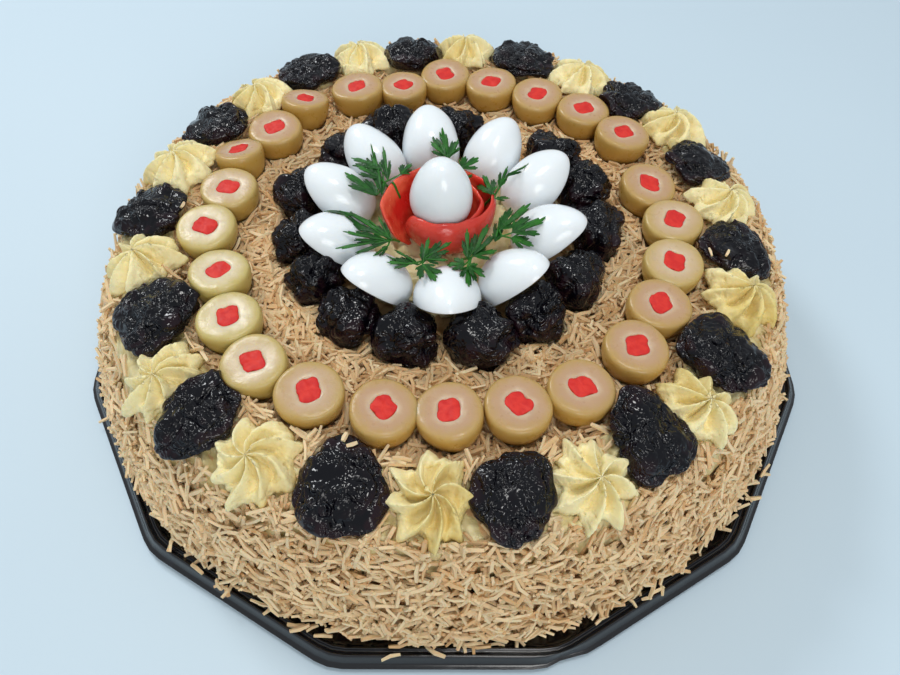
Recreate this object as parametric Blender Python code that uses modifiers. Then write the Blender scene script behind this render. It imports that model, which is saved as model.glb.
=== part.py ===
"""A round savory cake on its black twelve-sided tray, coated in potato sticks and dressed with
prunes, piped rosettes, halved olives, egg petals, a tomato rose and parsley.

Units are metres and +Z is up. The origin is the centre of the tray's flat underside, and the
side that faces the viewer is at -Y. Angles of the toppings are in degrees, counted from +X.
"""

import math
import random

import bmesh
import bpy
import numpy as np
from mathutils import Matrix, Vector, noise

MM = 0.001
GAP = 0.3 * MM

# Tray
TRAY_SIDES = 12
TRAY_WALL = 0.6 * MM
TRAY_CORNER_TURN = 15
# Half the width across the flats, and the height of the upper face, from the centre outwards.
TRAY_PROFILE = [(0, TRAY_WALL), (141.5 * MM, TRAY_WALL), (143.6 * MM, 7 * MM), (145 * MM, 5.3 * MM),
                (146.6 * MM, 8 * MM), (148.2 * MM, 4.2 * MM), (150 * MM, 3.4 * MM)]

# Cake core, under the layer of sticks
CAKE_CENTRE = Vector((-1 * MM, 1.5 * MM))
CAKE_STEPS = 48
TOP = 55 * MM
# The border that carries the outer ring: its inner and outer edges as (radius, height)
BORDER_INNER = (106.5 * MM, 61.2 * MM)
BORDER_OUTER = (127.5 * MM, 55.5 * MM)
CAKE_PROFILE = [(0, TOP), (103.5 * MM, TOP), BORDER_INNER, BORDER_OUTER,
                (131 * MM, 47 * MM), (134.5 * MM, 38 * MM), (137.6 * MM, 26 * MM), (139.6 * MM, 12 * MM),
                (138 * MM, TRAY_WALL + GAP), (0, TRAY_WALL + GAP)]
CAKE_WOBBLE = 0.9 * MM
BORDER_SLOPE = (BORDER_INNER[1] - BORDER_OUTER[1]) / (BORDER_OUTER[0] - BORDER_INNER[0])

# Potato sticks that stand out of the coat
STICK_WIDTH = 1.6 * MM
STICK_LENGTHS = (8 * MM, 13 * MM)
STICK_CENTRE = 0.3
STICK_ROWS = (9 * MM, 17 * MM, 25 * MM, 33 * MM, 42 * MM)
STICKS_A_ROW = 18
TOP_STICKS = 40
TOP_STICK_RADIUS = 74.5 * MM

# The toppings' own centre, which lies a little to the left of the tray's
RING_CENTRE = Vector((-2.3 * MM, 0))

# Halved olives, in five runs whose neighbours touch: the first angle, then each ring radius
# and each olive's radius.
OLIVE_HEIGHT = 13.5 * MM
OLIVE_STEPS = 14
OLIVE_PRESS = 1 * MM
OLIVE_CLEARANCE = 0.8 * MM
OLIVE = 11.4 * MM
SMALL_OLIVE = 10.2 * MM
OLIVE_RUNS = [
    (-176, [(90, OLIVE), (86, OLIVE), (91, SMALL_OLIVE), (88, OLIVE), (93, SMALL_OLIVE)]),
    (115.4, [(89, OLIVE), (84, SMALL_OLIVE), (91, OLIVE), (88, OLIVE), (88, OLIVE), (91, OLIVE),
             (92, OLIVE)]),
    (13.5, [(85, OLIVE), (90, OLIVE), (89, OLIVE), (88, OLIVE), (90, OLIVE)]),
    (-59.5, [(90, OLIVE), (88, OLIVE), (87, OLIVE), (88, OLIVE)]),
    (-118.5, [(90, OLIVE), (92, OLIVE), (89, OLIVE), (86, OLIVE)]),
]

# Outer ring: angle and ring radius of each prune and each rosette, one after the other in turn
OUTER_PRUNES = [(122, 116), (97, 111), (71, 113), (42, 115), (18, 113), (-7, 113), (-33, 113),
                (-54, 114), (-79, 114), (-105, 114), (-133, 116), (-155, 109), (178, 114), (149, 115)]
ROSETTES = [(110, 116), (85, 116), (56, 114), (32, 118), (7, 113), (-17, 115), (-43, 117),
            (-66, 117), (-91, 113), (-120, 116), (-142, 117), (-170, 113), (163, 113), (137, 113)]
OUTER_PRUNE_SIZE = Vector((15.5, 15.5, 5.4)) * MM
ROSETTE_RADIUS = 16.5 * MM
ROSETTE_HEIGHT = 11 * MM
ROSETTE_LOBES = 8
PRUNE_SHARE = 0.55

# Inner ring of plump prunes, in runs whose neighbours touch
INNER_PRUNE_RUNS = [
    [(135, 57), (111, 60), (85, 57)],
    [(40, 61), (20, 61), (-2, 60)],
    [(-29, 56.5), (-50, 55), (-77, 55.5)],
    [(-104, 55), (-127, 55.5), (-148, 54)],
    [(-170, 54.5), (163, 58)],
]
INNER_PRUNE_SIZE = Vector((10.6, 12.6, 10.4)) * MM
PRUNE_PRESS = 0.5 * MM

# Half eggs laid as petals on a bed of cream, leaning outwards
PETAL_ANGLES = (132, 97, 59, 26, -14, -50, -87, -125, -159, 165)
PETAL_RADIUS = 42.5 * MM
PETAL_HEIGHT = 68 * MM
PETAL_LEAN = 40
PETAL_SIZE = Vector((16, 12.2, 12)) * MM
EGG_TAPER = 0.16
BED_HEIGHT = 58.3 * MM

# Upright egg in the tomato rose
EGG_CENTRE = Vector((-2.6, -1, 81)) * MM
EGG_SIZE = Vector((11.8, 11.8, 15)) * MM
ROSE_CENTRE = Vector((-2, -1.5)) * MM
ROSE_TURNS = 1.7
ROSE_RADII = (6 * MM, 19.5 * MM)
ROSE_TOPS = (66 * MM, 76.5 * MM)
ROSE_LEAN = 4 * MM
ROSE_WALL = 2.4 * MM
ROSE_STEPS = 34
ROSE_START = -20

# Parsley: the foot of each sprig, then the tips of its leaflets, in millimetres
PARSLEY = [
    [(-20, 0), (-30, -3), (-32, 6), (-28, 15), (-22, 14)],
    [(1, 20), (-4, 28), (1, 33), (8, 31), (11, 24)],
    [(20, 6), (17, 15), (24, 20), (30, 13)],
    [(22, -14), (20, -5), (28, -2), (36, -6), (36, -13), (29, -17)],
    [(9, -24), (10, -15), (17, -17), (16, -28), (11, -36), (4, -30)],
    [(-7, -24), (-2, -18), (1, -26), (-4, -34), (-12, -31)],
    [(-20, -16), (-27, -9), (-36, -8), (-37, -16), (-33, -22), (-23, -24)],
]
LEAF_HEIGHT = 78 * MM
LEAF_RISE = 4 * MM
LEAF_THICKNESS = 0.5 * MM
LEAF_NOTCH = 0.42


def clear_scene():
    for obj in list(bpy.data.objects):
        bpy.data.objects.remove(obj, do_unlink=True)


def new_collection(name):
    collection = bpy.data.collections.new(name)
    bpy.context.scene.collection.children.link(collection)
    return collection


def new_material(name, color, roughness):
    material = bpy.data.materials.new(name)
    material.use_nodes = True
    shader = material.node_tree.nodes["Principled BSDF"]
    shader.inputs["Base Color"].default_value = (*color, 1)
    shader.inputs["Roughness"].default_value = roughness
    material.diffuse_color = (*color, 1)
    return material


def add_object(name, mesh, collection):
    obj = bpy.data.objects.new(name, mesh)
    collection.objects.link(obj)
    return obj


def mesh_from(shape, name):
    """A mesh from a bmesh, with its faces turned outwards."""
    bmesh.ops.recalc_face_normals(shape, faces=shape.faces)
    if shape.calc_volume(signed=True) < 0:
        bmesh.ops.reverse_faces(shape, faces=shape.faces)
    mesh = bpy.data.meshes.new(name)
    shape.to_mesh(mesh)
    shape.free()
    return mesh


def baked(obj):
    """The mesh that an object's modifiers make, as an object in its place."""
    depsgraph = bpy.context.evaluated_depsgraph_get()
    mesh = bpy.data.meshes.new_from_object(obj.evaluated_get(depsgraph))
    obj.modifiers.clear()
    obj.data = mesh
    return obj


def finish(obj, material, sharp_angle=40):
    obj.data.materials.clear()
    obj.data.materials.append(material)
    obj.data.shade_smooth()
    obj.data.set_sharp_from_angle(angle=math.radians(sharp_angle))


def turned(name, profile, steps, collection):
    """A profile of (radius, height) points turned round Z."""
    mesh = bpy.data.meshes.new(name)
    edges = [(i, i + 1) for i in range(len(profile) - 1)]
    mesh.from_pydata([(radius, 0, height) for radius, height in profile], edges, [])
    obj = add_object(name, mesh, collection)
    screw = obj.modifiers.new("Turn", "SCREW")
    screw.steps = steps
    screw.render_steps = steps
    screw.use_merge_vertices = True
    screw.merge_threshold = 0.01 * MM
    return obj


def fuse(obj, pieces):
    """Joins every object of a collection to this one, and removes that collection."""
    union = obj.modifiers.new("Fuse", "BOOLEAN")
    union.operation = "UNION"
    union.operand_type = "COLLECTION"
    union.collection = pieces
    baked(obj)
    for piece in list(pieces.objects):
        bpy.data.objects.remove(piece, do_unlink=True)
    bpy.data.collections.remove(pieces)


def on_ring(angle, radius, centre=RING_CENTRE):
    turn = math.radians(angle)
    return Vector((centre.x + radius * math.cos(turn), centre.y + radius * math.sin(turn)))


def squeeze(shape, angle, low, high, fill_low=False, fill_high=False):
    """Presses a piece at this angle of the ring between two limits, in degrees from its middle.
    A side that fills its limit is stretched to it, and another is only pressed in."""
    middle = math.radians(angle)
    places = []
    for vert in shape.verts:
        x = vert.co.x - RING_CENTRE.x
        y = vert.co.y - RING_CENTRE.y
        turn = (math.atan2(y, x) - middle + math.pi) % (2 * math.pi) - math.pi
        places.append((vert, math.hypot(x, y), turn))
    for sign, limit, fills in ((-1, math.radians(-low), fill_low), (1, math.radians(high), fill_high)):
        reach = max(sign * turn for vert, radius, turn in places)
        factor = limit / reach
        if factor > 1 and not fills:
            continue
        for vert, radius, turn in places:
            if sign * turn > 0:
                spot = middle + turn * factor
                vert.co.x = RING_CENTRE.x + radius * math.cos(spot)
                vert.co.y = RING_CENTRE.y + radius * math.sin(spot)


def press_from_olives(shape):
    """Moves the points of an outer piece that would enter an olive out past its side."""
    olives = olive_places()
    for _ in range(3):
        for vert in shape.verts:
            for middle, radius in olives:
                away = vert.co.xy - middle
                if away.length < radius + OLIVE_CLEARANCE:
                    vert.co.xy = middle + away.normalized() * (radius + OLIVE_CLEARANCE)


def make_tray(parts, material):
    corner = math.cos(math.pi / TRAY_SIDES)
    profile = [(radius / corner, height) for radius, height in TRAY_PROFILE]
    tray = turned("tray", profile, TRAY_SIDES, parts)
    tray.rotation_euler.z = math.radians(TRAY_CORNER_TURN)
    wall = tray.modifiers.new("Wall", "SOLIDIFY")
    wall.thickness = TRAY_WALL
    wall.offset = -1
    finish(tray, material, 20)


def core_radius(height):
    heights = [point[1] for point in CAKE_PROFILE[-2:1:-1]]
    radii = [point[0] for point in CAKE_PROFILE[-2:1:-1]]
    return float(np.interp(height, heights, radii))


def side_wobble(place):
    """How far the core's side stands in or out, fading towards the tray and the border."""
    fade = min(1, max(0, (place.z - 3 * MM) / (8 * MM)), max(0, (BORDER_OUTER[1] - place.z) / (9 * MM)))
    return CAKE_WOBBLE * fade * noise.noise(Vector(place) / (28 * MM))


def make_stick(place, outward, along, lean, length):
    """A stick whose foot is at this place, lying along the surface and lifted off it by lean."""
    stick = bmesh.new()
    bmesh.ops.create_cube(stick, size=1)
    bmesh.ops.scale(stick, vec=(length, STICK_WIDTH, STICK_WIDTH), verts=stick.verts)
    bmesh.ops.translate(stick, vec=(STICK_CENTRE * length, 0, 0), verts=stick.verts)
    ahead = along * math.cos(lean) + outward * math.sin(lean)
    above = outward * math.cos(lean) - along * math.sin(lean)
    frame = Matrix((ahead, above.cross(ahead), above)).transposed().to_4x4()
    bmesh.ops.transform(stick, matrix=Matrix.Translation(place) @ frame, verts=stick.verts)
    return mesh_from(stick, "stick")


def clear_of_toppings(spot):
    """True where a place on the top lies clear of the olives and the inner prunes."""
    for middle, radius in olive_places():
        if (spot - middle).length < radius + 1.2 * MM:
            return False
    for run in INNER_PRUNE_RUNS:
        for angle, ring in run:
            if (spot - on_ring(angle, ring * MM)).length < INNER_PRUNE_SIZE.y + 1.8 * MM:
                return False
    return True


def side_sticks(draw, sticks):
    """Rows of sticks round the side, each turned at random on it; the lowest stand upright."""
    for row, height in enumerate(STICK_ROWS):
        for i in range(STICKS_A_ROW):
            turn = 2 * math.pi * (i + 0.5 * (row % 2) + draw.uniform(-0.2, 0.2)) / STICKS_A_ROW
            level = height + draw.uniform(-2, 2) * MM
            side = Vector((math.cos(turn), math.sin(turn), 0))
            outward = (side + Vector((0, 0, 0.2))).normalized()
            across = Vector((-math.sin(turn), math.cos(turn), 0))
            spin = draw.uniform(0.3, 0.7) * math.pi if row == 0 else draw.uniform(0, 2 * math.pi)
            along = across * math.cos(spin) + outward.cross(across) * math.sin(spin)
            place = side * (core_radius(level) - 0.4 * MM)
            place += Vector((*CAKE_CENTRE, level))
            lean = math.radians(draw.uniform(16, 30))
            stick = make_stick(place, outward, along, lean, draw.uniform(*STICK_LENGTHS))
            add_object("stick", stick, sticks)


def top_sticks(draw, sticks):
    """Sticks on the top between the inner prunes and the olives, where there is room."""
    for i in range(TOP_STICKS):
        turn = 360 * i / TOP_STICKS
        spot = on_ring(turn, TOP_STICK_RADIUS)
        heading = math.radians(turn + 90 + draw.uniform(-30, 30))
        along = Vector((math.cos(heading), math.sin(heading), 0))
        length = draw.uniform(*STICK_LENGTHS)
        ends = [spot + along.xy * (STICK_CENTRE + half) * length for half in (-0.5, 0, 0.5)]
        if all(clear_of_toppings(end) for end in ends):
            place = Vector((*spot, TOP - 0.3 * MM))
            lean = math.radians(draw.uniform(8, 14))
            stick = make_stick(place, Vector((0, 0, 1)), along, lean, length)
            add_object("stick", stick, sticks)


def make_cake(parts, material):
    """The core with the sticks that stand out of its coat, spread evenly round the side in rows
    and, where the toppings leave room, on the top."""
    cake = turned("cake", CAKE_PROFILE, CAKE_STEPS, parts)
    baked(cake)
    for vert in cake.data.vertices:
        radius = math.hypot(vert.co.x, vert.co.y)
        if radius > 0:
            factor = 1 + side_wobble(vert.co) / radius
            vert.co.x *= factor
            vert.co.y *= factor
        vert.co.x += CAKE_CENTRE.x
        vert.co.y += CAKE_CENTRE.y
    draw = random.Random(7)
    sticks = new_collection("sticks")
    side_sticks(draw, sticks)
    top_sticks(draw, sticks)
    fuse(cake, sticks)
    finish(cake, material)


def olive_places():
    """Each olive's middle and radius, all runs one after the other."""
    places = []
    for start, sizes in OLIVE_RUNS:
        angle = start
        for i, (ring, radius) in enumerate(sizes):
            if i > 0:
                last_ring, last_radius = sizes[i - 1]
                chord = (radius + last_radius - OLIVE_PRESS) / MM
                cosine = (ring**2 + last_ring**2 - chord**2) / (2 * ring * last_ring)
                angle -= math.degrees(math.acos(cosine))
            places.append((on_ring(angle, ring * MM), radius))
    return places


def make_olive(name, middle, radius, collection):
    profile = [(0, OLIVE_HEIGHT), (0.97 * radius, OLIVE_HEIGHT), (radius, 10 * MM), (0.7 * radius, 0), (0, 0)]
    olive = turned(name, profile, OLIVE_STEPS, collection)
    baked(olive)
    olive.data.transform(Matrix.Translation((*middle, TOP + GAP)))
    return olive


def make_olives(parts, material):
    places = iter(olive_places())
    for number, (start, sizes) in enumerate(OLIVE_RUNS, 1):
        run = make_olive(f"olives_{number}", *next(places), parts)
        others = new_collection("others")
        for _ in sizes[1:]:
            make_olive("olive", *next(places), others)
        fuse(run, others)
        finish(run, material)


def lumpy(shape, size, depth, seed):
    """Scales a ball to these half sizes, with a flat foot, and raises folds and lumps on it."""
    for vert in shape.verts:
        way = vert.co.normalized()
        fold = noise.noise(way * 1.7 + Vector((seed, 0, 0)))
        turn = math.atan2(way.y, way.x)
        crease = 0.35 * math.cos(3 * turn + seed) * (1 - way.z**2)
        swell = 1 + depth * (fold + crease)
        vert.co = Vector((way.x * size.x, way.y * size.y, way.z * size.z)) * swell
        vert.co.z = max(vert.co.z, -0.72 * size.z) + 0.72 * size.z


def make_outer_prunes(parts, material):
    """Flattened prunes on the sloping border, each pressed in between its two rosettes."""
    for i, (angle, ring) in enumerate(OUTER_PRUNES):
        after = (ROSETTES[i][0] - angle + 180) % 360 - 180
        before = (ROSETTES[i - 1][0] - angle + 180) % 360 - 180
        edge = math.degrees(0.5 * GAP / (ring * MM))
        shape = bmesh.new()
        bmesh.ops.create_uvsphere(shape, u_segments=12, v_segments=6, radius=1)
        size = OUTER_PRUNE_SIZE * (0.94 + 0.12 * math.sin(2.4 * i) ** 2)
        lumpy(shape, size, 0.16, 3.1 * i)
        place_on_border(shape, angle, ring)
        press_from_olives(shape)
        squeeze(shape, angle, PRUNE_SHARE * after + edge, PRUNE_SHARE * before - edge)
        prune = add_object(f"outer_prune_{i + 1:02d}", mesh_from(shape, "prune"), parts)
        finish(prune, material, 60)


def place_on_border(shape, angle, ring):
    """Moves a piece, made with its foot at height 0, onto the sloping border of the core."""
    spot = on_ring(angle, ring * MM)
    out = spot - CAKE_CENTRE
    height = BORDER_INNER[1] - BORDER_SLOPE * (out.length - BORDER_INNER[0])
    turn = Matrix.Rotation(math.atan2(out.y, out.x), 4, "Z") @ Matrix.Rotation(math.atan(BORDER_SLOPE), 4, "Y")
    place = Matrix.Translation((*spot, height + 1.2 * GAP)) @ turn
    bmesh.ops.transform(shape, matrix=place, verts=shape.verts)


def rosette_radius(turn, level):
    """Radius of the piped star at a share of its height: deep valleys between swirled lobes."""
    lobe = 0.5 + 0.5 * math.cos(ROSETTE_LOBES * turn)
    return ROSETTE_RADIUS * (1 - level**1.5) * (0.74 + 0.26 * lobe)


def make_rosettes(parts, material):
    for i, (angle, ring) in enumerate(ROSETTES):
        prune_before = OUTER_PRUNES[i][0]
        prune_after = OUTER_PRUNES[(i + 1) % len(OUTER_PRUNES)][0]
        high = (1 - PRUNE_SHARE) * ((prune_before - angle + 180) % 360 - 180)
        low = (1 - PRUNE_SHARE) * ((prune_after - angle + 180) % 360 - 180)
        edge = math.degrees(0.5 * GAP / (ring * MM))
        shape = bmesh.new()
        bmesh.ops.create_uvsphere(shape, u_segments=2 * ROSETTE_LOBES, v_segments=5, radius=1)
        spin = 0.7 * i
        for vert in shape.verts:
            flat = math.hypot(vert.co.x, vert.co.y)
            turn = math.atan2(vert.co.y, vert.co.x)
            rise = (vert.co.z + 1) / 2
            level = max(0, (rise - 0.1) / 0.9)
            radius = rosette_radius(turn, level)
            if flat < 0.01:
                radius = 0
                level = round(rise)
            swirled = turn + spin + 0.35 * level
            vert.co = (radius * math.cos(swirled), radius * math.sin(swirled), ROSETTE_HEIGHT * level)
        place_on_border(shape, angle, ring)
        press_from_olives(shape)
        squeeze(shape, angle, low + edge, high - edge)
        rosette = add_object(f"rosette_{i + 1:02d}", mesh_from(shape, "rosette"), parts)
        finish(rosette, material, 50)


def make_inner_prune(name, run, index, collection):
    angle, ring = run[index]
    shape = bmesh.new()
    bmesh.ops.create_uvsphere(shape, u_segments=10, v_segments=6, radius=1)
    lumpy(shape, INNER_PRUNE_SIZE, 0.1, angle)
    turn = Matrix.Rotation(math.radians(angle), 4, "Z")
    place = Matrix.Translation((*on_ring(angle, ring * MM), TOP + GAP)) @ turn
    bmesh.ops.transform(shape, matrix=place, verts=shape.verts)
    others = sorted(other for each in INNER_PRUNE_RUNS for other, _ in each if other != angle)
    ahead = min((other - angle) % 360 for other in others) / 2
    behind = min((angle - other) % 360 for other in others) / 2
    apart = math.degrees(0.6 * GAP / (ring * MM))
    press = math.degrees(PRUNE_PRESS / (ring * MM))
    joins_ahead = index > 0
    joins_behind = index < len(run) - 1
    high = ahead + (press if joins_ahead else -apart)
    low = -behind - (press if joins_behind else -apart)
    squeeze(shape, angle, low, high, joins_behind, joins_ahead)
    return add_object(name, mesh_from(shape, "prune"), collection)


def make_inner_prunes(parts, material):
    for number, run in enumerate(INNER_PRUNE_RUNS, 1):
        first = make_inner_prune(f"inner_prunes_{number}", run, 0, parts)
        others = new_collection("others")
        for index in range(1, len(run)):
            make_inner_prune("prune", run, index, others)
        fuse(first, others)
        finish(first, material, 60)


def egg_ball(size, across, along):
    """A ball drawn out to an egg along Z, narrower at its upper end."""
    shape = bmesh.new()
    bmesh.ops.create_uvsphere(shape, u_segments=across, v_segments=along, radius=1)
    for vert in shape.verts:
        width = 1 - EGG_TAPER * vert.co.z
        vert.co = (vert.co.x * size.x * width, vert.co.y * size.y * width, vert.co.z * size.z)
    return shape


def make_cream_bed(parts, material):
    """The mash under the petals: a low disc, a groove for their inner ends, and a raised rim."""
    slope = math.tan(math.radians(PETAL_LEAN))
    under = 2 * MM
    groove = 30.4 * MM
    rim = 40 * MM
    profile = [(0, BED_HEIGHT), (24.5 * MM, BED_HEIGHT),
               (groove, PETAL_HEIGHT + (groove - PETAL_RADIUS) * slope - under),
               (rim, PETAL_HEIGHT + (rim - PETAL_RADIUS) * slope - under),
               (41 * MM, 61 * MM), (41.5 * MM, TOP + GAP), (0, TOP + GAP)]
    bed = turned("cream_bed", profile, 20, parts)
    baked(bed)
    bed.data.transform(Matrix.Translation((*RING_CENTRE, 0)))
    finish(bed, material, 50)


def make_petals(parts, material):
    lean = Matrix.Rotation(math.radians(-PETAL_LEAN), 4, "Y")
    count = len(PETAL_ANGLES)
    for i, angle in enumerate(PETAL_ANGLES):
        shape = egg_ball(Vector((PETAL_SIZE.z, PETAL_SIZE.y, PETAL_SIZE.x)), 12, 7)
        bmesh.ops.rotate(shape, matrix=Matrix.Rotation(math.radians(90), 3, "Y"), verts=shape.verts)
        everything = shape.verts[:] + shape.edges[:] + shape.faces[:]
        cut = bmesh.ops.bisect_plane(shape, geom=everything, plane_no=(0, 0, -1), clear_outer=True)
        rim = [item for item in cut["geom_cut"] if isinstance(item, bmesh.types.BMEdge)]
        bmesh.ops.contextual_create(shape, geom=rim)
        place = Matrix.Translation((*on_ring(angle, PETAL_RADIUS), PETAL_HEIGHT))
        place = place @ Matrix.Rotation(math.radians(angle), 4, "Z") @ lean
        bmesh.ops.transform(shape, matrix=place, verts=shape.verts)
        ahead = ((PETAL_ANGLES[i - 1] - angle) % 360) / 2
        behind = ((angle - PETAL_ANGLES[(i + 1) % count]) % 360) / 2
        apart = math.degrees(0.6 * GAP / PETAL_RADIUS)
        squeeze(shape, angle, apart - behind, ahead - apart)
        bmesh.ops.triangulate(shape, faces=shape.faces)
        petal = add_object(f"egg_petal_{i + 1:02d}", mesh_from(shape, "petal"), parts)
        finish(petal, material)


def make_centre_egg(parts, material):
    shape = egg_ball(EGG_SIZE, 14, 8)
    bmesh.ops.translate(shape, vec=EGG_CENTRE, verts=shape.verts)
    egg = add_object("centre_egg", mesh_from(shape, "egg"), parts)
    finish(egg, material)


def make_tomato_rose(parts, material):
    """A strip of tomato peel wound outwards into a cup, leaning out, its top edge in waves."""
    shape = bmesh.new()
    last = None
    for step in range(ROSE_STEPS + 1):
        share = step / ROSE_STEPS
        turn = math.radians(ROSE_START) + 2 * math.pi * ROSE_TURNS * share
        radius = ROSE_RADII[0] + (ROSE_RADII[1] - ROSE_RADII[0]) * share**0.8
        top = ROSE_TOPS[0] + (ROSE_TOPS[1] - ROSE_TOPS[0]) * min(1, 1.3 * share)
        top += 0.8 * MM * math.sin(3 * turn) * share
        way = Vector((math.cos(turn), math.sin(turn)))
        column = []
        for rise in (0, 0.5, 1):
            out = radius + ROSE_LEAN * share * (rise - 0.4)
            height = BED_HEIGHT + GAP + (top - BED_HEIGHT - GAP) * rise
            column.append(shape.verts.new((*(ROSE_CENTRE + way * out), height)))
        if last:
            for low in (0, 1):
                shape.faces.new((last[low], column[low], column[low + 1], last[low + 1]))
        last = column
    mesh = bpy.data.meshes.new("rose")
    shape.to_mesh(mesh)
    shape.free()
    rose = add_object("tomato_rose", mesh, parts)
    wall = rose.modifiers.new("Wall", "SOLIDIFY")
    wall.thickness = ROSE_WALL
    wall.offset = 0
    finish(rose, material)


def leaf_height(x, y):
    """The leaves lie over the rose's edge and climb over the petals."""
    radius = math.hypot(x - RING_CENTRE.x, y - RING_CENTRE.y)
    climb = max(0, radius - 20 * MM) / (20 * MM)
    ripple = 0.3 * MM * math.sin(x / (3 * MM)) * math.cos(y / (3 * MM))
    return LEAF_HEIGHT + LEAF_RISE * climb**2 + ripple


def make_parsley(parts, material):
    """Each sprig is a fan of faces round its middle, with a spike for its stem and each leaflet,
    and a notch between neighbours."""
    for number, sprig in enumerate(PARSLEY, 1):
        points = [Vector(point) * MM + RING_CENTRE for point in sprig]
        middle = sum(points, Vector((0, 0))) / len(points)
        spikes = sorted((point - middle for point in points), key=lambda spike: math.atan2(spike.y, spike.x))
        outline = []
        for i, spike in enumerate(spikes):
            turn = math.atan2(spike.y, spike.x)
            ahead = math.atan2(spikes[(i + 1) % len(spikes)].y, spikes[(i + 1) % len(spikes)].x)
            step = (ahead - turn) % (2 * math.pi)
            reach = spike.length
            half = min(0.24, 0.3 * step)
            outline += [(turn - half, 0.66 * reach), (turn - 0.3 * half, 0.78 * reach), (turn, reach),
                        (turn + 0.3 * half, 0.78 * reach), (turn + half, 0.66 * reach)]
            nearer = min(reach, spikes[(i + 1) % len(spikes)].length)
            outline.append((turn + step / 2, LEAF_NOTCH * nearer))
        shape = bmesh.new()
        hub = shape.verts.new((*middle, leaf_height(*middle)))
        rim = []
        for turn, reach in outline:
            spot = middle + Vector((math.cos(turn), math.sin(turn))) * reach
            rim.append(shape.verts.new((*spot, leaf_height(*spot))))
        for i, vert in enumerate(rim):
            shape.faces.new((hub, vert, rim[(i + 1) % len(rim)]))
        leaf = add_object(f"parsley_{number}", mesh_from(shape, "leaf"), parts)
        wall = leaf.modifiers.new("Wall", "SOLIDIFY")
        wall.thickness = LEAF_THICKNESS
        wall.offset = 0
        finish(leaf, material)


def main():
    clear_scene()
    parts = new_collection("savory_cake")
    prune = new_material("prune", (0.012, 0.008, 0.012), 0.25)
    cream = new_material("cream", (0.72, 0.58, 0.27), 0.55)
    egg = new_material("egg_white", (0.83, 0.85, 0.84), 0.3)
    make_tray(parts, new_material("tray_plastic", (0.008, 0.008, 0.011), 0.3))
    make_cake(parts, new_material("potato_sticks", (0.47, 0.29, 0.13), 0.7))
    make_olives(parts, new_material("olive", (0.48, 0.27, 0.14), 0.35))
    make_outer_prunes(parts, prune)
    make_rosettes(parts, cream)
    make_inner_prunes(parts, prune)
    make_cream_bed(parts, cream)
    make_petals(parts, egg)
    make_centre_egg(parts, egg)
    make_tomato_rose(parts, new_material("tomato", (0.55, 0.06, 0.03), 0.3))
    make_parsley(parts, new_material("parsley", (0.04, 0.12, 0.03), 0.5))


main()
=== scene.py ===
"""The looks of the savory cake: potato sticks, prunes, piped rosettes, olives, egg petals,
a tomato rose and parsley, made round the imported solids. Lengths are in metres."""
import math

import bpy
import numpy as np
from mathutils import Matrix, Vector, noise
from mathutils.bvhtree import BVHTree


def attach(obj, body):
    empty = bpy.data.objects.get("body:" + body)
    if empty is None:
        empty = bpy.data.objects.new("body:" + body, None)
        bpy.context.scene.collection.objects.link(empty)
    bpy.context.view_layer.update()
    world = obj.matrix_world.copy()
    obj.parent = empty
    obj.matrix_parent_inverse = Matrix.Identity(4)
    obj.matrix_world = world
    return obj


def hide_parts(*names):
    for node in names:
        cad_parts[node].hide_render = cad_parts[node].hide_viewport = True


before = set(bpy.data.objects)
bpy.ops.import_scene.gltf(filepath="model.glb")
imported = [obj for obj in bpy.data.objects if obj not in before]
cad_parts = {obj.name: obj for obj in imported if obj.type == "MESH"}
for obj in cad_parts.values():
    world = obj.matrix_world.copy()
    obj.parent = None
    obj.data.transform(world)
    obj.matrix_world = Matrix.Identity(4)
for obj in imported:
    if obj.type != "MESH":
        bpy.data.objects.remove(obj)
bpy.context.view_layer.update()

MM = 0.001
GAP = 0.3 * MM
TAU = 2 * math.pi

# Tray: half the width across the flats and the height of the upper face, from the centre out
TRAY_SIDES = 12
TRAY_WALL = 0.6 * MM
TRAY_REACH = 150 * MM
TRAY_PROFILE = [(0, 0.6), (60, 0.6), (141.5, 0.6), (143.6, 7), (145, 5.3), (146.6, 8), (148.2, 4.2),
                (150, 3.4)]
TRAY_CHIP_ANGLE = 285.5
TRAY_CHIP_DEPTH = 2.4 * MM

# Cake core, its coat of sticks and the border that carries the outer ring
CAKE_CENTRE = np.array((-1, 1.5)) * MM
CAKE_FOOT = 0.9 * MM
TOP = 55 * MM
TOP_SINK = 0.8 * MM
BORDER_INNER = (106.5 * MM, 61.2 * MM)
BORDER_OUTER = (127.5 * MM, 55.5 * MM)
BORDER_SLOPE = (BORDER_INNER[1] - BORDER_OUTER[1]) / (BORDER_OUTER[0] - BORDER_INNER[0])
SMEAR_RADII = np.array((102, 105, 106.5, 127.5, 130, 133)) * MM
SMEAR_HEIGHTS = np.array((54.8, 59.5, 61.2, 55.5, 51.5, 42)) * MM
SMEAR_DEPTH = 2.6 * MM
SIDE_HEIGHTS = np.array((0.9, 12, 26, 38, 47, 55.5)) * MM
SIDE_RADII = np.array((138, 139.6, 137.6, 134.5, 131, 127.5)) * MM
CORE_DEPTH = 1.6 * MM
COAT_HEIGHTS = np.array((1, 8, 9.5, 19, 29, 39, 49, 55, 60)) * MM
COAT_RADII = np.array((141, 143, 147.2, 145.2, 142.2, 139.2, 134.6, 131.5, 129)) * MM

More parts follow.
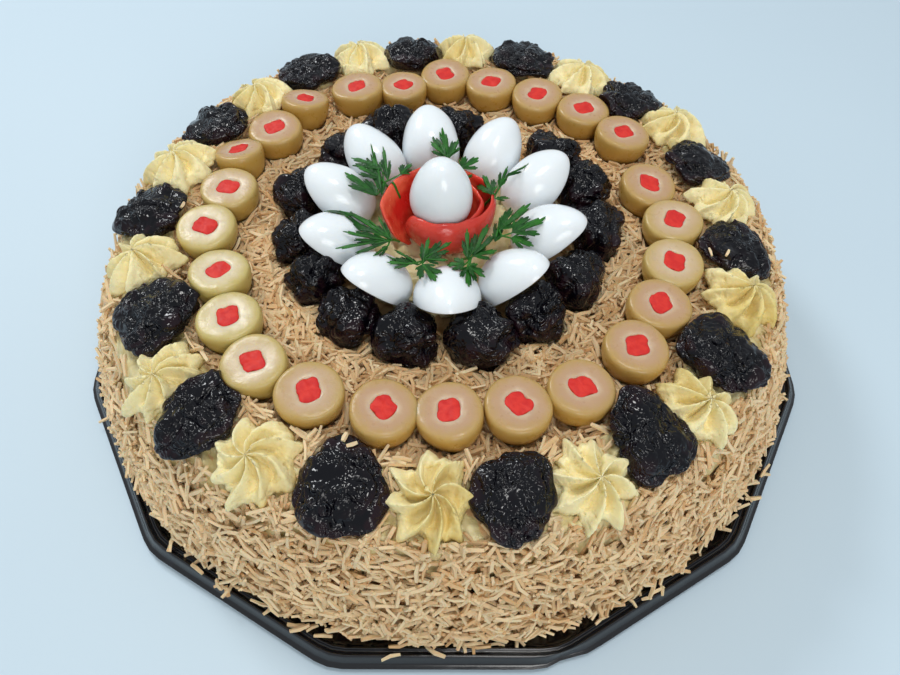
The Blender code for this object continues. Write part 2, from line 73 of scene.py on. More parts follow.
# Toppings, as in the solids
RING_CENTRE = np.array((-2.3, 0)) * MM
OLIVE_PRESS = 1 * MM
OLIVE_CLEARANCE = 0.8 * MM
OLIVE = 11.4 * MM
SMALL_OLIVE = 10.2 * MM
OLIVE_RUNS = [
    (-176, [(90, OLIVE), (86, OLIVE), (91, SMALL_OLIVE), (88, OLIVE), (93, SMALL_OLIVE)]),
    (115.4, [(89, OLIVE), (84, SMALL_OLIVE), (91, OLIVE), (88, OLIVE), (88, OLIVE), (91, OLIVE),
             (92, OLIVE)]),
    (13.5, [(85, OLIVE), (90, OLIVE), (89, OLIVE), (88, OLIVE), (90, OLIVE)]),
    (-59.5, [(90, OLIVE), (88, OLIVE), (87, OLIVE), (88, OLIVE)]),
    (-118.5, [(90, OLIVE), (92, OLIVE), (89, OLIVE), (86, OLIVE)]),
]
OUTER_PRUNES = [(122, 116), (97, 111), (71, 113), (42, 115), (18, 113), (-7, 113), (-33, 113),
                (-54, 114), (-79, 114), (-105, 114), (-133, 116), (-155, 109), (178, 114), (149, 115)]
ROSETTES = [(110, 116), (85, 116), (56, 114), (32, 118), (7, 113), (-17, 115), (-43, 117),
            (-66, 117), (-91, 113), (-120, 116), (-142, 117), (-170, 113), (163, 113), (137, 113)]
OUTER_PRUNE_SIZE = np.array((15.5, 15.5, 5.4)) * MM
ROSETTE_RADIUS = 16.5 * MM
ROSETTE_HEIGHT = 11 * MM
ROSETTE_LOBES = 8.0
PRUNE_SHARE = 0.55
INNER_PRUNE_RUNS = [
    [(135, 57), (111, 60), (85, 57)],
    [(40, 61), (20, 61), (-2, 60)],
    [(-29, 56.5), (-50, 55), (-77, 55.5)],
    [(-104, 55), (-127, 55.5), (-148, 54)],
    [(-170, 54.5), (163, 58)],
]
INNER_PRUNE_SIZE = np.array((10.6, 12.6, 10.4)) * MM
PRUNE_PRESS = 0.5 * MM
PETAL_ANGLES = (132, 97, 59, 26, -14, -50, -87, -125, -159, 165)
PETAL_RADIUS = 42.5 * MM
PETAL_HEIGHT = 68 * MM
PETAL_LEAN = 40
PETAL_SIZE = np.array((16, 12.2, 12)) * MM
EGG_TAPER = 0.16
BED_FOOT = 55.4
BED_TOP = 59.3
ROSE_FOOT = 58.7
EGG_CENTRE = np.array((-2.6, -1, 81)) * MM
EGG_SIZE = np.array((11.8, 11.8, 15)) * MM
ROSE_CENTRE = np.array((-2, -1.5)) * MM
LEAF_LEVEL = 78 * MM

# Parsley as it shows in the picture: for each leaflet of a sprig, the pixels of its foot and its
# tip, and its width in pixels
PARSLEY = [
    [(382, 195, 375, 145, 8), (388, 180, 384, 148, 6), (382, 170, 352, 155, 11), (380, 178, 357, 167, 8),
     (377, 196, 346, 173, 15), (401, 176, 413, 162, 8)],
    [(448, 158, 443, 129, 13), (446, 156, 431, 142, 8), (450, 157, 459, 140, 7), (461, 170, 479, 159, 13),
     (466, 178, 472, 174, 4)],
    [(492, 195, 482, 171, 11), (499, 188, 507, 167, 5), (495, 199, 510, 198, 3), (505, 178, 528, 164, 3)],
    [(499, 230, 529, 206, 13), (495, 242, 502, 212, 6), (512, 233, 545, 218, 16), (511, 238, 534, 245, 12)],
    [(468, 260, 467, 230, 7), (473, 256, 488, 224, 13), (472, 256, 497, 250, 11), (465, 265, 447, 263, 11),
     (467, 267, 468, 287, 11), (468, 266, 484, 279, 10), (470, 265, 478, 265, 3)],
    [(423, 262, 429, 238, 7), (426, 257, 452, 243, 8), (426, 259, 448, 261, 6), (422, 264, 436, 281, 14),
     (418, 265, 393, 247, 4), (412, 264, 386, 256, 4), (410, 264, 387, 263, 6)],
    [(392, 240, 347, 201, 11), (388, 236, 378, 216, 5), (390, 241, 335, 247, 10), (385, 240, 343, 234, 6),
     (355, 216, 324, 206, 8), (388, 246, 374, 256, 4)],
]

# Bits of stick that lie on the outer prunes: the pixels where they show, and their headings
STRAYS = [(345, 438, 70), (352, 445, 20), (710, 253, 95), (727, 254, 60), (183, 206, 80)]

# How many sticks are drawn for each layer. Those that would enter a topping are dropped.
SIDE_STICKS = 9800
TOP_STICKS = 13000
BORDER_STICKS = 12000
DROPPED_STICKS = 700

# The direction of the left side, where cream is smeared over the shoulder
CREAMY_ANGLE = 194

# The camera that took the picture: its place, and how far it looks down, looks to the right of +Y
# and leans to the left
PICTURE = (900, 675)
SENSOR = 36
LENS = 29.78
VIEW_FROM = Vector((-2.3, -206.48, 273.67)) * MM
VIEW_DOWN = 54.1494
VIEW_ASIDE = 1.1775
VIEW_LEAN = 1.4332
VIEW_TURN = (Matrix.Rotation(math.radians(-VIEW_ASIDE), 3, "Z")
             @ Matrix.Rotation(math.radians(90 - VIEW_DOWN), 3, "X")
             @ Matrix.Rotation(math.radians(VIEW_LEAN), 3, "Z"))
VIEW_RIGHT, VIEW_UP, VIEW_BACK = VIEW_TURN.col
FOCAL_PIXELS = LENS / SENSOR * PICTURE[0]


# Node trees

def plug(tree, socket, value):
    """Links a wire to a socket, or sets the socket to a value."""
    if isinstance(value, Wire):
        tree.links.new(value.socket, socket)
    else:
        socket.default_value = value


def add_node(tree, kind, inputs=(), **settings):
    node = tree.nodes.new(kind)
    for name, value in settings.items():
        setattr(node, name, value)
    for name, value in dict(inputs).items():
        plug(tree, node.inputs[name], value)
    return node


def made(tree, kind, inputs=(), **settings):
    """Adds a node and gives its first output."""
    return Wire(tree, add_node(tree, kind, inputs, **settings).outputs[0])


def calc(tree, operation, *values):
    node = add_node(tree, "ShaderNodeMath", operation=operation)
    for socket, value in zip(node.inputs, values):
        plug(tree, socket, value)
    return Wire(tree, node.outputs[0])


class Wire:
    """An output in a node tree, which can be used in a formula like a number."""

    def __init__(self, tree, socket):
        self.tree = tree
        self.socket = socket

    def calc(self, operation, *others):
        return calc(self.tree, operation, self, *others)

    def __add__(self, other):
        return self.calc("ADD", other)

    def __radd__(self, other):
        return self.calc("ADD", other)

    def __sub__(self, other):
        return self.calc("SUBTRACT", other)

    def __rsub__(self, other):
        return calc(self.tree, "SUBTRACT", other, self)

    def __mul__(self, other):
        return self.calc("MULTIPLY", other)

    def __rmul__(self, other):
        return self.calc("MULTIPLY", other)

    def __truediv__(self, other):
        return self.calc("DIVIDE", other)

    def __pow__(self, other):
        return self.calc("POWER", other)

    def __abs__(self):
        return self.calc("ABSOLUTE")

    def between(self, low, high):
        """0 at the low value, 1 at the high one, and a soft rise between them."""
        return made(self.tree, "ShaderNodeMapRange", {"Value": self, "From Min": low, "From Max": high},
                    interpolation_type="SMOOTHSTEP")


def vector(tree, x=0.0, y=0.0, z=0.0):
    return made(tree, "ShaderNodeCombineXYZ", {"X": x, "Y": y, "Z": z})


def axes(wire):
    node = add_node(wire.tree, "ShaderNodeSeparateXYZ", {"Vector": wire})
    return [Wire(wire.tree, socket) for socket in node.outputs]


def texture(tree, place, size, detail=2.0, twist=0.0, roughness=0.5):
    """Soft noise from 0 to 1, whose lumps are about this size."""
    return made(tree, "ShaderNodeTexNoise", {"Vector": place, "Scale": 1 / size, "Detail": detail,
                                             "Roughness": roughness, "Distortion": twist})


def store_mark(tree, geometry, name, value):
    """Stores a number at each point, as a mark that a material can read."""
    node = add_node(tree, "GeometryNodeStoreNamedAttribute", {"Geometry": geometry, "Name": name},
                    data_type="FLOAT", domain="POINT")
    plug(tree, next(socket for socket in node.inputs if socket.name == "Value" and socket.enabled), value)
    return Wire(tree, node.outputs[0])


class Finish:
    """A procedural material for one of the cake's surfaces."""

    def __init__(self, name, **sockets):
        self.material = bpy.data.materials.new(name)
        self.material.use_nodes = True
        self.tree = self.material.node_tree
        self.shader = self.tree.nodes["Principled BSDF"]
        self.place = Wire(self.tree, self.tree.nodes.new("ShaderNodeTexCoord").outputs["Object"])
        for socket, value in sockets.items():
            self.shader.inputs[socket.replace("_", " ")].default_value = value

    def noise(self, size, detail=2.0, twist=0.0):
        return texture(self.tree, self.place, size, detail, twist)

    def cells(self, size):
        node = add_node(self.tree, "ShaderNodeTexVoronoi", {"Vector": self.place, "Scale": 1 / size})
        return Wire(self.tree, node.outputs["Distance"])

    def mark(self, name):
        """A number that the piece's mesh holds at each point."""
        node = add_node(self.tree, "ShaderNodeAttribute", attribute_name=name)
        return Wire(self.tree, node.outputs["Fac"])

    def blend(self, share, first, second):
        node = add_node(self.tree, "ShaderNodeMix", data_type="RGBA", clamp_factor=True)
        plug(self.tree, node.inputs[0], share)
        plug(self.tree, node.inputs[6], first)
        plug(self.tree, node.inputs[7], second)
        return Wire(self.tree, node.outputs[2])

    def colour(self, value):
        plug(self.tree, self.shader.inputs["Base Color"], value)

    def roughness(self, value):
        plug(self.tree, self.shader.inputs["Roughness"], value)

    def bump(self, *layers):
        """Relief in layers of (height from 0 to 1, depth in metres)."""
        normal = None
        for height, depth in layers:
            inputs = {"Height": height, "Distance": depth, "Strength": 1.0}
            if normal:
                inputs["Normal"] = normal
            normal = made(self.tree, "ShaderNodeBump", inputs)
        plug(self.tree, self.shader.inputs["Normal"], normal)


def srgb(red, green, blue):
    """The linear colour, with full alpha, of a colour given from 0 to 255."""
    return tuple(((part / 255 + 0.055) / 1.055) ** 2.4 for part in (red, green, blue)) + (1.0,)


# Shapes

class Shape:
    """Points, faces and marks (a number at each point) of a piece in the making."""

    def __init__(self, points, faces, **marks):
        self.points = np.asarray(points, float)
        self.faces = faces
        self.marks = {name: np.asarray(values, float) for name, values in marks.items()}
        if self.volume() < 0:
            self.faces = [tuple(reversed(face)) for face in faces]

    def volume(self):
        total = 0.0
        for count in (3, 4):
            some = np.array([face for face in self.faces if len(face) == count])
            for i in range(1, count - 1):
                if len(some):
                    a, b, c = self.points[some[:, 0]], self.points[some[:, i]], self.points[some[:, i + 1]]
                    total += float(np.einsum("ij,ij->", a, np.cross(b, c)))
        return total

    def moved(self, matrix):
        self.points = self.points @ np.array(matrix.to_3x3()).T + np.array(matrix.translation)
        return self


def joined(shapes):
    """Several shapes as one."""
    points, faces, start = [], [], 0
    for shape in shapes:
        points.append(shape.points)
        faces += [tuple(start + i for i in face) for face in shape.faces]
        start += len(shape.points)
    marks = {name: np.concatenate([shape.marks[name] for shape in shapes]) for name in shapes[0].marks}
    whole = Shape.__new__(Shape)
    whole.points, whole.faces, whole.marks = np.concatenate(points), faces, marks
    return whole


def ring_faces(rows, columns):
    """Faces of a solid that is wound in rings from a first pole point to a last one."""
    here = np.arange(columns)
    ahead = (here + 1) % columns
    faces = [(0, 1 + a, 1 + b) for a, b in zip(here.tolist(), ahead.tolist())]
    for row in range(rows - 1):
        a = 1 + row * columns
        b = a + columns
        faces += np.stack((a + here, b + here, b + ahead, a + ahead), 1).tolist()
    last = 1 + rows * columns
    low = last - columns
    faces += [(last, low + b, low + a) for a, b in zip(here.tolist(), ahead.tolist())]
    return [tuple(face) for face in faces]


def wound(first, rings, last, **marks):
    """A closed solid from its first pole point, its rings (rows, columns, 3) and its last one."""
    rings = np.asarray(rings, float)
    rows, columns = rings.shape[:2]
    points = np.concatenate(([first], rings.reshape(-1, 3), [last]))
    flat = {}
    for name, values in marks.items():
        values = np.broadcast_to(values, (rows, columns))
        flat[name] = np.concatenate(([values[0].mean()], values.ravel(), [values[-1].mean()]))
    return Shape(points, ring_faces(rows, columns), **flat)


def sheet(grid, thickness, **marks):
    """A sheet of this thickness (one number, or one at each point) on a grid of points. Its edges
    are closed, and the mark "outside" is 1 on the face that the grid's normals point from."""
    rows, columns = grid.shape[:2]
    down, across = np.gradient(grid, axis=0), np.gradient(grid, axis=1)
    normals = np.cross(down, across)
    normals /= np.linalg.norm(normals, axis=2, keepdims=True) + 1e-12
    half = np.broadcast_to(np.asarray(thickness, float) / 2, (rows, columns))[..., None]
    points = np.concatenate(((grid + normals * half).reshape(-1, 3), (grid - normals * half).reshape(-1, 3)))
    count = rows * columns
    index = np.arange(count).reshape(rows, columns)
    a, b, c, d = index[:-1, :-1], index[1:, :-1], index[1:, 1:], index[:-1, 1:]
    quads = [np.stack((a, b, c, d), -1).reshape(-1, 4), count + np.stack((a, d, c, b), -1).reshape(-1, 4)]
    for edge in (index[0, :], index[:, -1], index[-1, ::-1], index[::-1, 0]):
        quads.append(np.stack((edge[:-1], edge[1:], count + edge[1:], count + edge[:-1]), 1))
    faces = [tuple(face) for face in np.concatenate(quads).tolist()]
    both = {}
    for name, values in marks.items():
        both[name] = np.tile(np.broadcast_to(values, (rows, columns)).ravel(), 2)
    return Shape(points, faces, outside=np.repeat((1.0, 0.0), count), **both)


def tube(path, radius, sides=6):
    """A round strand along a path of points."""
    path = np.asarray(path, float)
    ahead = np.gradient(path, axis=0)
    ahead /= np.linalg.norm(ahead, axis=1, keepdims=True)
    side = np.cross(ahead, (0.31, 0.17, 0.93))
    side /= np.linalg.norm(side, axis=1, keepdims=True)
    up = np.cross(side, ahead)
    turn = even_turns(sides)[None, :, None]
    rings = path[:, None] + radius * (np.cos(turn) * side[:, None] + np.sin(turn) * up[:, None])
    return wound(path[0], rings, path[-1])


def lattice(x, y, z, seed):
    """A fixed number from 0 to 1 for each cell."""
    value = (x * 73856093) ^ (y * 19349663) ^ (z * 83492791) ^ (seed * 40503)
    value = ((value ^ (value >> 13)) * 1274126177) & 0x7FFFFFFF
    value = ((value ^ (value >> 15)) * 668265263) & 0x7FFFFFFF
    return (value & 0xFFFFF) / 0xFFFFF


def lumps(points, size, seed=0):
    """Soft noise from -1 to 1 at points, with lumps of this size."""
    place = np.asarray(points) / size + 512.37
    cell = np.floor(place).astype(np.int64)
    share = place - cell
    share = share**3 * (share * (share * 6 - 15) + 10)
    total = np.zeros(place.shape[:-1])
    for corner in np.ndindex(2, 2, 2):
        weight = np.ones(place.shape[:-1])
        for axis, side in enumerate(corner):
            weight = weight * (share[..., axis] if side else 1 - share[..., axis])
        total += weight * lattice(*(cell[..., axis] + corner[axis] for axis in range(3)), seed)
    return total * 2 - 1


def folds(points, size, seed=0):
    """Rounded folds with sharp creases between them, from 0 in a crease to about 1."""
    warp = np.stack([lumps(points, size * 1.6, seed + 11 + axis) for axis in range(3)], -1)
    return np.abs(lumps(points + warp * size * 0.7, size, seed))


def even_turns(count):
    """Angles spaced evenly round a full turn."""
    return np.arange(count) * TAU / count


def around(radius, turn, height=0.0):
    """Points at these radii, angles and heights round Z."""
    return np.stack(np.broadcast_arrays(radius * np.cos(turn), radius * np.sin(turn), height), -1)


def sideways(turn):
    """The level direction that runs round the cake at each angle."""
    return np.stack((-np.sin(turn), np.cos(turn), 0 * turn), -1)


def directions(rows, columns):
    """Unit directions in rings, from near +Z down to near -Z."""
    tilt = np.linspace(0, math.pi, rows + 2)[1:-1][:, None]
    return around(np.sin(tilt), even_turns(columns), np.cos(tilt))


def turn_of(way):
    """The angle of each direction round Z."""
    return np.arctan2(way[..., 1], way[..., 0])


def smooth_line(points, rounds=2):
    """A line of points with its corners cut, round after round."""
    line = np.asarray(points, float)
    for _ in range(rounds):
        near, far = line[:-1] * 0.75 + line[1:] * 0.25, line[:-1] * 0.25 + line[1:] * 0.75
        line = np.concatenate(([line[0]], np.stack((near, far), 1).reshape(-1, line.shape[1]), [line[-1]]))
    return line


def spread_evenly(line, count):
    """Points spaced evenly along a line."""
    steps = np.concatenate(([0], np.cumsum(np.linalg.norm(np.diff(line, axis=0), axis=1))))
    even = np.linspace(0, steps[-1], count)
    return np.stack([np.interp(even, steps, values) for values in line.T], 1)


def mesh_from(name, shape):
    mesh = bpy.data.meshes.new(name)
    mesh.from_pydata(shape.points.tolist(), [], shape.faces)
    for mark, values in shape.marks.items():
        mesh.attributes.new(mark, "FLOAT", "POINT").data.foreach_set("value", values)
    mesh.shade_smooth()
    return mesh


def add_piece(name, mesh, finish, slot, *nodes):
    """Adds a piece that rides on the cake's one body and stands for these nodes."""
    piece = bpy.data.objects.new(name, mesh)
    bpy.context.scene.collection.objects.link(piece)
    mesh.materials.clear()
    mesh.materials.append(finish.material)
    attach(piece, "root")
    if nodes:
        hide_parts(*nodes)
    return piece


def new_maker(name, **inputs):
    """A Geometry Nodes tree with a named input for each size, given as its kind of socket."""
    tree = bpy.data.node_groups.new(name, "GeometryNodeTree")
    tree.interface.new_socket("Geometry", in_out="INPUT", socket_type="NodeSocketGeometry")
    for label, kind in inputs.items():
        tree.interface.new_socket(label, in_out="INPUT", socket_type="NodeSocket" + kind)
    tree.interface.new_socket("Geometry", in_out="OUTPUT", socket_type="NodeSocketGeometry")
    source = tree.nodes.new("NodeGroupInput")
    wires = {label: Wire(tree, source.outputs[label]) for label in ("Geometry", *inputs)}
    return tree, wires


def close_maker(tree, geometry, finish):
    """Ends a tree with Realize Instances and Set Material."""
    real = made(tree, "GeometryNodeRealizeInstances", {"Geometry": geometry})
    painted = made(tree, "GeometryNodeSetMaterial", {"Geometry": real, "Material": finish.material})
    plug(tree, tree.nodes.new("NodeGroupOutput").inputs[0], painted)


def made_by(tree, start, settings):
    """The plain mesh that a tree makes from a start mesh with these settings."""
    maker = bpy.data.objects.new("maker", start)
    bpy.context.scene.collection.objects.link(maker)
    modifier = maker.modifiers.new("Maker", "NODES")
    modifier.node_group = tree
    for item in tree.interface.items_tree:
        if item.in_out == "INPUT" and item.name in settings:
            modifier[item.identifier] = settings[item.name]
    depsgraph = bpy.context.evaluated_depsgraph_get()
    mesh = bpy.data.meshes.new_from_object(maker.evaluated_get(depsgraph))
    maker.modifiers.remove(modifier)
    bpy.data.objects.remove(maker, do_unlink=True)
    return mesh


def points_of(mesh):
    places = np.empty(len(mesh.vertices) * 3)
    mesh.vertices.foreach_get("co", places)
    return places.reshape(-1, 3)


def set_points(mesh, points):
    mesh.vertices.foreach_set("co", points.ravel())
    mesh.update()


# Places

def sight(x, y):
    """The direction in which the camera sees a pixel, for a depth of one focal length in pixels."""
    aside = VIEW_RIGHT * (x - PICTURE[0] / 2) + VIEW_UP * (PICTURE[1] / 2 - y)
    return aside - VIEW_BACK * FOCAL_PIXELS


def on_ring(angle, radius):
    """The place, seen from above, at this angle in degrees and this radius of the toppings' ring."""
    turn = math.radians(angle)
    return RING_CENTRE + radius * np.array((math.cos(turn), math.sin(turn)))


def degrees_apart(angle, middle):
    """The angle from the middle, between -180 and 180 degrees."""
    return (angle - middle + 180) % 360 - 180


def squeeze(points, angle, low, high, fill_low=False, fill_high=False):
    """Presses a piece at this angle of the ring between two limits, in degrees from its middle."""
    middle = math.radians(angle)
    offset = points[:, :2] - RING_CENTRE
    radius = np.hypot(offset[:, 0], offset[:, 1])
    turn = (np.arctan2(offset[:, 1], offset[:, 0]) - middle + math.pi) % TAU - math.pi
    for sign, limit, fills in ((-1, math.radians(-low), fill_low), (1, math.radians(high), fill_high)):
        factor = limit / (sign * turn).max()
        if factor < 1 or fills:
            turn = np.where(sign * turn > 0, turn * factor, turn)
    points[:, 0] = RING_CENTRE[0] + radius * np.cos(middle + turn)
    points[:, 1] = RING_CENTRE[1] + radius * np.sin(middle + turn)


def olive_places():
    """Each run's olives, as their middles and radii."""
    runs = []
    for start, sizes in OLIVE_RUNS:
        angle = start
        run = []
        for i, (ring, radius) in enumerate(sizes):
            if i > 0:
                last_ring, last_radius = sizes[i - 1]
                chord = (radius + last_radius - OLIVE_PRESS) / MM
                cosine = (ring**2 + last_ring**2 - chord**2) / (2 * ring * last_ring)
                angle -= math.degrees(math.acos(cosine))
            run.append((on_ring(angle, ring * MM), radius))
        runs.append(run)
    return runs


def press_from_olives(points):
    """Moves points of an outer piece that would enter an olive out past its side."""
    for _ in range(3):
        for run in olive_places():
            for middle, radius in run:
                away = points[:, :2] - middle
                length = np.hypot(away[:, 0], away[:, 1])
                inside = length < radius + OLIVE_CLEARANCE
                reach = (radius + OLIVE_CLEARANCE) / np.maximum(length[inside], 1e-6)
                points[inside, :2] = middle + away[inside] * reach[:, None]


def place_on_border(points, angle, ring):
    """Moves a piece, made with its foot at height 0, onto the sloping border of the core."""
    spot = on_ring(angle, ring * MM)
    out = spot - CAKE_CENTRE
    height = BORDER_INNER[1] - BORDER_SLOPE * (np.hypot(*out) - BORDER_INNER[0])
    turn = Matrix.Rotation(math.atan2(out[1], out[0]), 4, "Z")
    lean = Matrix.Rotation(math.atan(BORDER_SLOPE), 4, "Y")
    place = Matrix.Translation((*spot, height + 1.2 * GAP)) @ turn @ lean
    return points @ np.array(place.to_3x3()).T + np.array(place.translation)


# Materials

def stick_finish():
    """Fried potato: pale straw to golden, browner at the ends, with a dry, slightly oily skin."""
    finish = Finish("fried_potato", Specular_IOR_Level=0.3, Subsurface_Weight=0.15, Subsurface_Scale=0.001)
    # The shade mark is each stick's tone. For the side sticks it also holds a painted shade, lower for sticks
    # deep in the coat.
    shade = finish.mark("shade") + (finish.noise(0.006) - 0.5) * 0.5
    base = finish.blend(shade.between(0.1, 0.9), srgb(213, 172, 121), srgb(232, 207, 166))
    base = finish.blend(shade.between(0.08, -0.15) * 0.7, base, srgb(176, 124, 72))
    ends = finish.mark("along").between(0.8, 1.05) * finish.mark("shade").between(0.9, 0.1)
    finish.colour(finish.blend(ends * 0.4, base, srgb(184, 132, 80)))
    finish.roughness(finish.noise(0.002) * 0.25 + 0.45)
    finish.bump((finish.noise(0.0009, 3), 0.0001))
    return finish


def core_finish():
    """The mash under the coat: golden brown where sticks are pressed into it, paler where bare."""
    finish = Finish("salad_mash", Specular_IOR_Level=0.3)
    patchy = finish.noise(0.004, 3).between(0.35, 0.7)
    finish.colour(finish.blend(patchy, srgb(198, 156, 106), srgb(224, 192, 142)))
    finish.roughness(finish.noise(0.003) * 0.2 + 0.5)
    finish.bump((finish.noise(0.003, 4), 0.0006))
    return finish


def cream_finish(name, light, deep):
    """Whipped yellow cream: a darker yellow in its valleys and creases, which is painted shade, with small
    torn pits.
    """
    finish = Finish(name, Specular_IOR_Level=0.3, Subsurface_Weight=0.25, Subsurface_Scale=0.002)
    finish.shader.inputs["Subsurface Radius"].default_value = (1.0, 0.7, 0.35)
    # The mark read here is high in the valleys and creases, and it mixes in the deep colour there: a painted
    # shade. The noise adds the cream's own uneven tone.
    tone = finish.mark("groove") * 0.8 + (finish.noise(0.005, 3) - 0.5) * 0.7
    finish.colour(finish.blend(tone.between(0.0, 0.85), light, deep))
    finish.roughness(finish.noise(0.002) * 0.2 + 0.42)
    pits = finish.cells(0.0016).between(0.0, 0.35)
    finish.bump((finish.noise(0.0025, 4), 0.0004), (pits, 0.00012))
    return finish


def prune_finish():
    """Moist prune skin: near black, purple-brown towards its narrow rim, which is its own colour, lighter on
    its fold ridges and blacker in their creases, which is painted shade, in patches of shiny wrinkles.
    """
    finish = Finish("prune_skin", Specular_IOR_Level=0.32)
    # The mark read here is the rim's own purple-brown tint together with a painted shade: lighter on the fold
    # ridges, darker in the creases.
    tone = finish.mark("thin") * 0.8 + (finish.noise(0.006, 3) - 0.5) * 1.2
    finish.colour(finish.blend(tone.between(0.3, 1.1), srgb(5, 4, 12), srgb(30, 13, 20)))
    wet = finish.noise(0.007, 2).between(0.4, 0.62)
    finish.roughness((1 - wet) * 0.12 + 0.06)
    patch = finish.noise(0.009, 2).between(0.38, 0.55) * 0.8 + 0.2
    wrinkles = abs(finish.noise(0.0048, 1, 1.2) - 0.5) * 2
    fine = abs(finish.noise(0.0026, 0, 0.8) - 0.5) * 2
    finish.bump((wrinkles * patch, 0.0014), (fine * patch, 0.0004))
    return finish


def olive_finish():
    """Green olive: clear pinkish-beige cut flesh, greener towards the edge, and an amber skin."""
    finish = Finish("olive_flesh", Specular_IOR_Level=0.4, Subsurface_Weight=0.5, Subsurface_Scale=0.004)
    finish.shader.inputs["Subsurface Radius"].default_value = (1.0, 0.7, 0.3)
    across = finish.mark("across") + (finish.noise(0.004, 3) - 0.5) * 0.3
    flesh = finish.blend(across.between(0.34, 0.6), srgb(206, 178, 150), srgb(188, 150, 118))
    flesh = finish.blend(across.between(0.6, 1.0), flesh, srgb(184, 150, 88))
    skin = finish.blend(finish.noise(0.006, 2), srgb(178, 131, 50), srgb(198, 158, 82))
    usual = finish.blend(finish.mark("cut"), skin, flesh)
    clear = finish.blend(across.between(0.45, 1.0), srgb(222, 206, 172), srgb(196, 178, 112))
    clear = finish.blend(finish.mark("cut"), srgb(190, 168, 92), clear)
    finish.colour(finish.blend(finish.mark("pale"), usual, clear))
    finish.roughness(finish.noise(0.003) * 0.2 + 0.2)
    finish.bump((finish.noise(0.0025, 2), 0.00015), (finish.noise(0.0008, 2), 0.00004))
    return finish


def pimento_finish():
    finish = Finish("pimento_flesh", Specular_IOR_Level=0.25, Subsurface_Weight=0.1, Subsurface_Scale=0.001)
    tone = finish.noise(0.003, 3, 0.5)
    finish.colour(finish.blend(tone.between(0.3, 0.7), srgb(204, 40, 38), srgb(220, 56, 46)))
    finish.roughness(finish.noise(0.002) * 0.25 + 0.4)
    finish.bump((finish.noise(0.0014, 3), 0.00015))
    return finish


def egg_finish():
    """Boiled egg white: cool, smooth and a little clear, with mash where a half is filled."""
    finish = Finish("egg_white_flesh", Specular_IOR_Level=0.5, Subsurface_Weight=0.35, Subsurface_Scale=0.004)
    finish.shader.inputs["Subsurface Radius"].default_value = (1.0, 0.9, 0.8)
    white = finish.blend(finish.noise(0.012), srgb(234, 240, 243), srgb(242, 247, 251))
    mash = finish.blend(finish.noise(0.002, 3), srgb(206, 180, 140), srgb(228, 206, 160))
    filled = finish.mark("filled").between(0.4, 0.6)
    finish.colour(finish.blend(filled, white, mash))
    finish.roughness(filled * 0.3 + finish.noise(0.006) * 0.1 + 0.14)
    finish.bump((finish.noise(0.003, 2), 0.00006))
    return finish


def tomato_finish():
    """Tomato peel: glossy red outside with orange parts, moist and darker inside."""
    finish = Finish("tomato_peel", Specular_IOR_Level=0.5, Subsurface_Weight=0.25, Subsurface_Scale=0.0015)
    peel = finish.blend(finish.noise(0.009, 2).between(0.35, 0.65), srgb(216, 42, 34), srgb(234, 98, 68))
    flesh = finish.blend(finish.noise(0.006, 3), srgb(200, 34, 30), srgb(222, 84, 64))
    finish.colour(finish.blend(finish.mark("outside"), flesh, peel))
    finish.roughness(finish.noise(0.003) * 0.2 + 0.14)
    finish.bump((finish.noise(0.0018, 3), 0.00015), (finish.noise(0.0045, 2), 0.0004))
    return finish


def parsley_finish():
    finish = Finish("parsley_leaf", Specular_IOR_Level=0.35, Subsurface_Weight=0.08, Subsurface_Scale=0.0008)
    tone = finish.noise(0.004, 3) * 0.7 + finish.mark("vein") * 0.3
    finish.colour(finish.blend(tone.between(0.15, 0.8), srgb(12, 62, 14), srgb(42, 116, 26)))
    finish.roughness(finish.noise(0.002) * 0.3 + 0.25)
    finish.bump((finish.noise(0.0012, 3), 0.0003))
    return finish


def tray_finish():
    """Thin black formed plastic, glossy, with faint scuffs."""
    finish = Finish("black_plastic", Specular_IOR_Level=0.5, Coat_Weight=0.4, Coat_Roughness=0.08)
    scuffs = finish.noise(0.012, 4, 1.0).between(0.5, 0.8)
    finish.colour(finish.blend(scuffs * 0.5, srgb(12, 12, 17), srgb(26, 27, 36)))
    finish.roughness(scuffs * 0.18 + 0.17)
    finish.bump((finish.noise(0.02, 2), 0.0003), (finish.noise(0.0015, 3), 0.00003))
    return finish


# Tray and core

def make_tray(finish):
    """The twelve-sided tray with its rounded corners, and three fine ridges round the rim."""
    line = smooth_line(TRAY_PROFILE, 3) * MM
    under = line.copy()
    run = np.gradient(line, axis=0)
    run /= np.linalg.norm(run, axis=1, keepdims=True)
    under += np.stack((run[:, 1], -run[:, 0]), 1) * TRAY_WALL
    under[:, 1] = np.maximum(under[:, 1], 0)
    under[:, 0] = np.minimum(under[:, 0], TRAY_REACH)
    section = np.concatenate((line[1:], under[:0:-1]))
    turn = even_turns(TRAY_SIDES * 16)
    side = TAU / TRAY_SIDES
    from_flat = (turn + side / 2) % side - side / 2
    corner = 1 / np.cos(from_flat)
    spread = 1 - 0.006 * np.log1p(np.exp((corner - 1.0305) / 0.0022)) * 0.366
    reach = corner * spread / (corner * spread)[np.abs(from_flat).argmin()]
    chip = TRAY_CHIP_DEPTH * np.exp(-((np.degrees(turn) - TRAY_CHIP_ANGLE) / 2.1) ** 2)
    at_rim = np.clip((section[:, 0] - 146 * MM) / (3 * MM), 0, 1)
    wide = section[:, :1] * reach - at_rim[:, None] * chip
    shape = wound((0, 0, TRAY_WALL), around(wide, turn, section[:, 1:]), (0, 0, 0))
    add_piece("formed_tray", mesh_from("formed_tray", shape), finish, "tray_plastic", "tray")


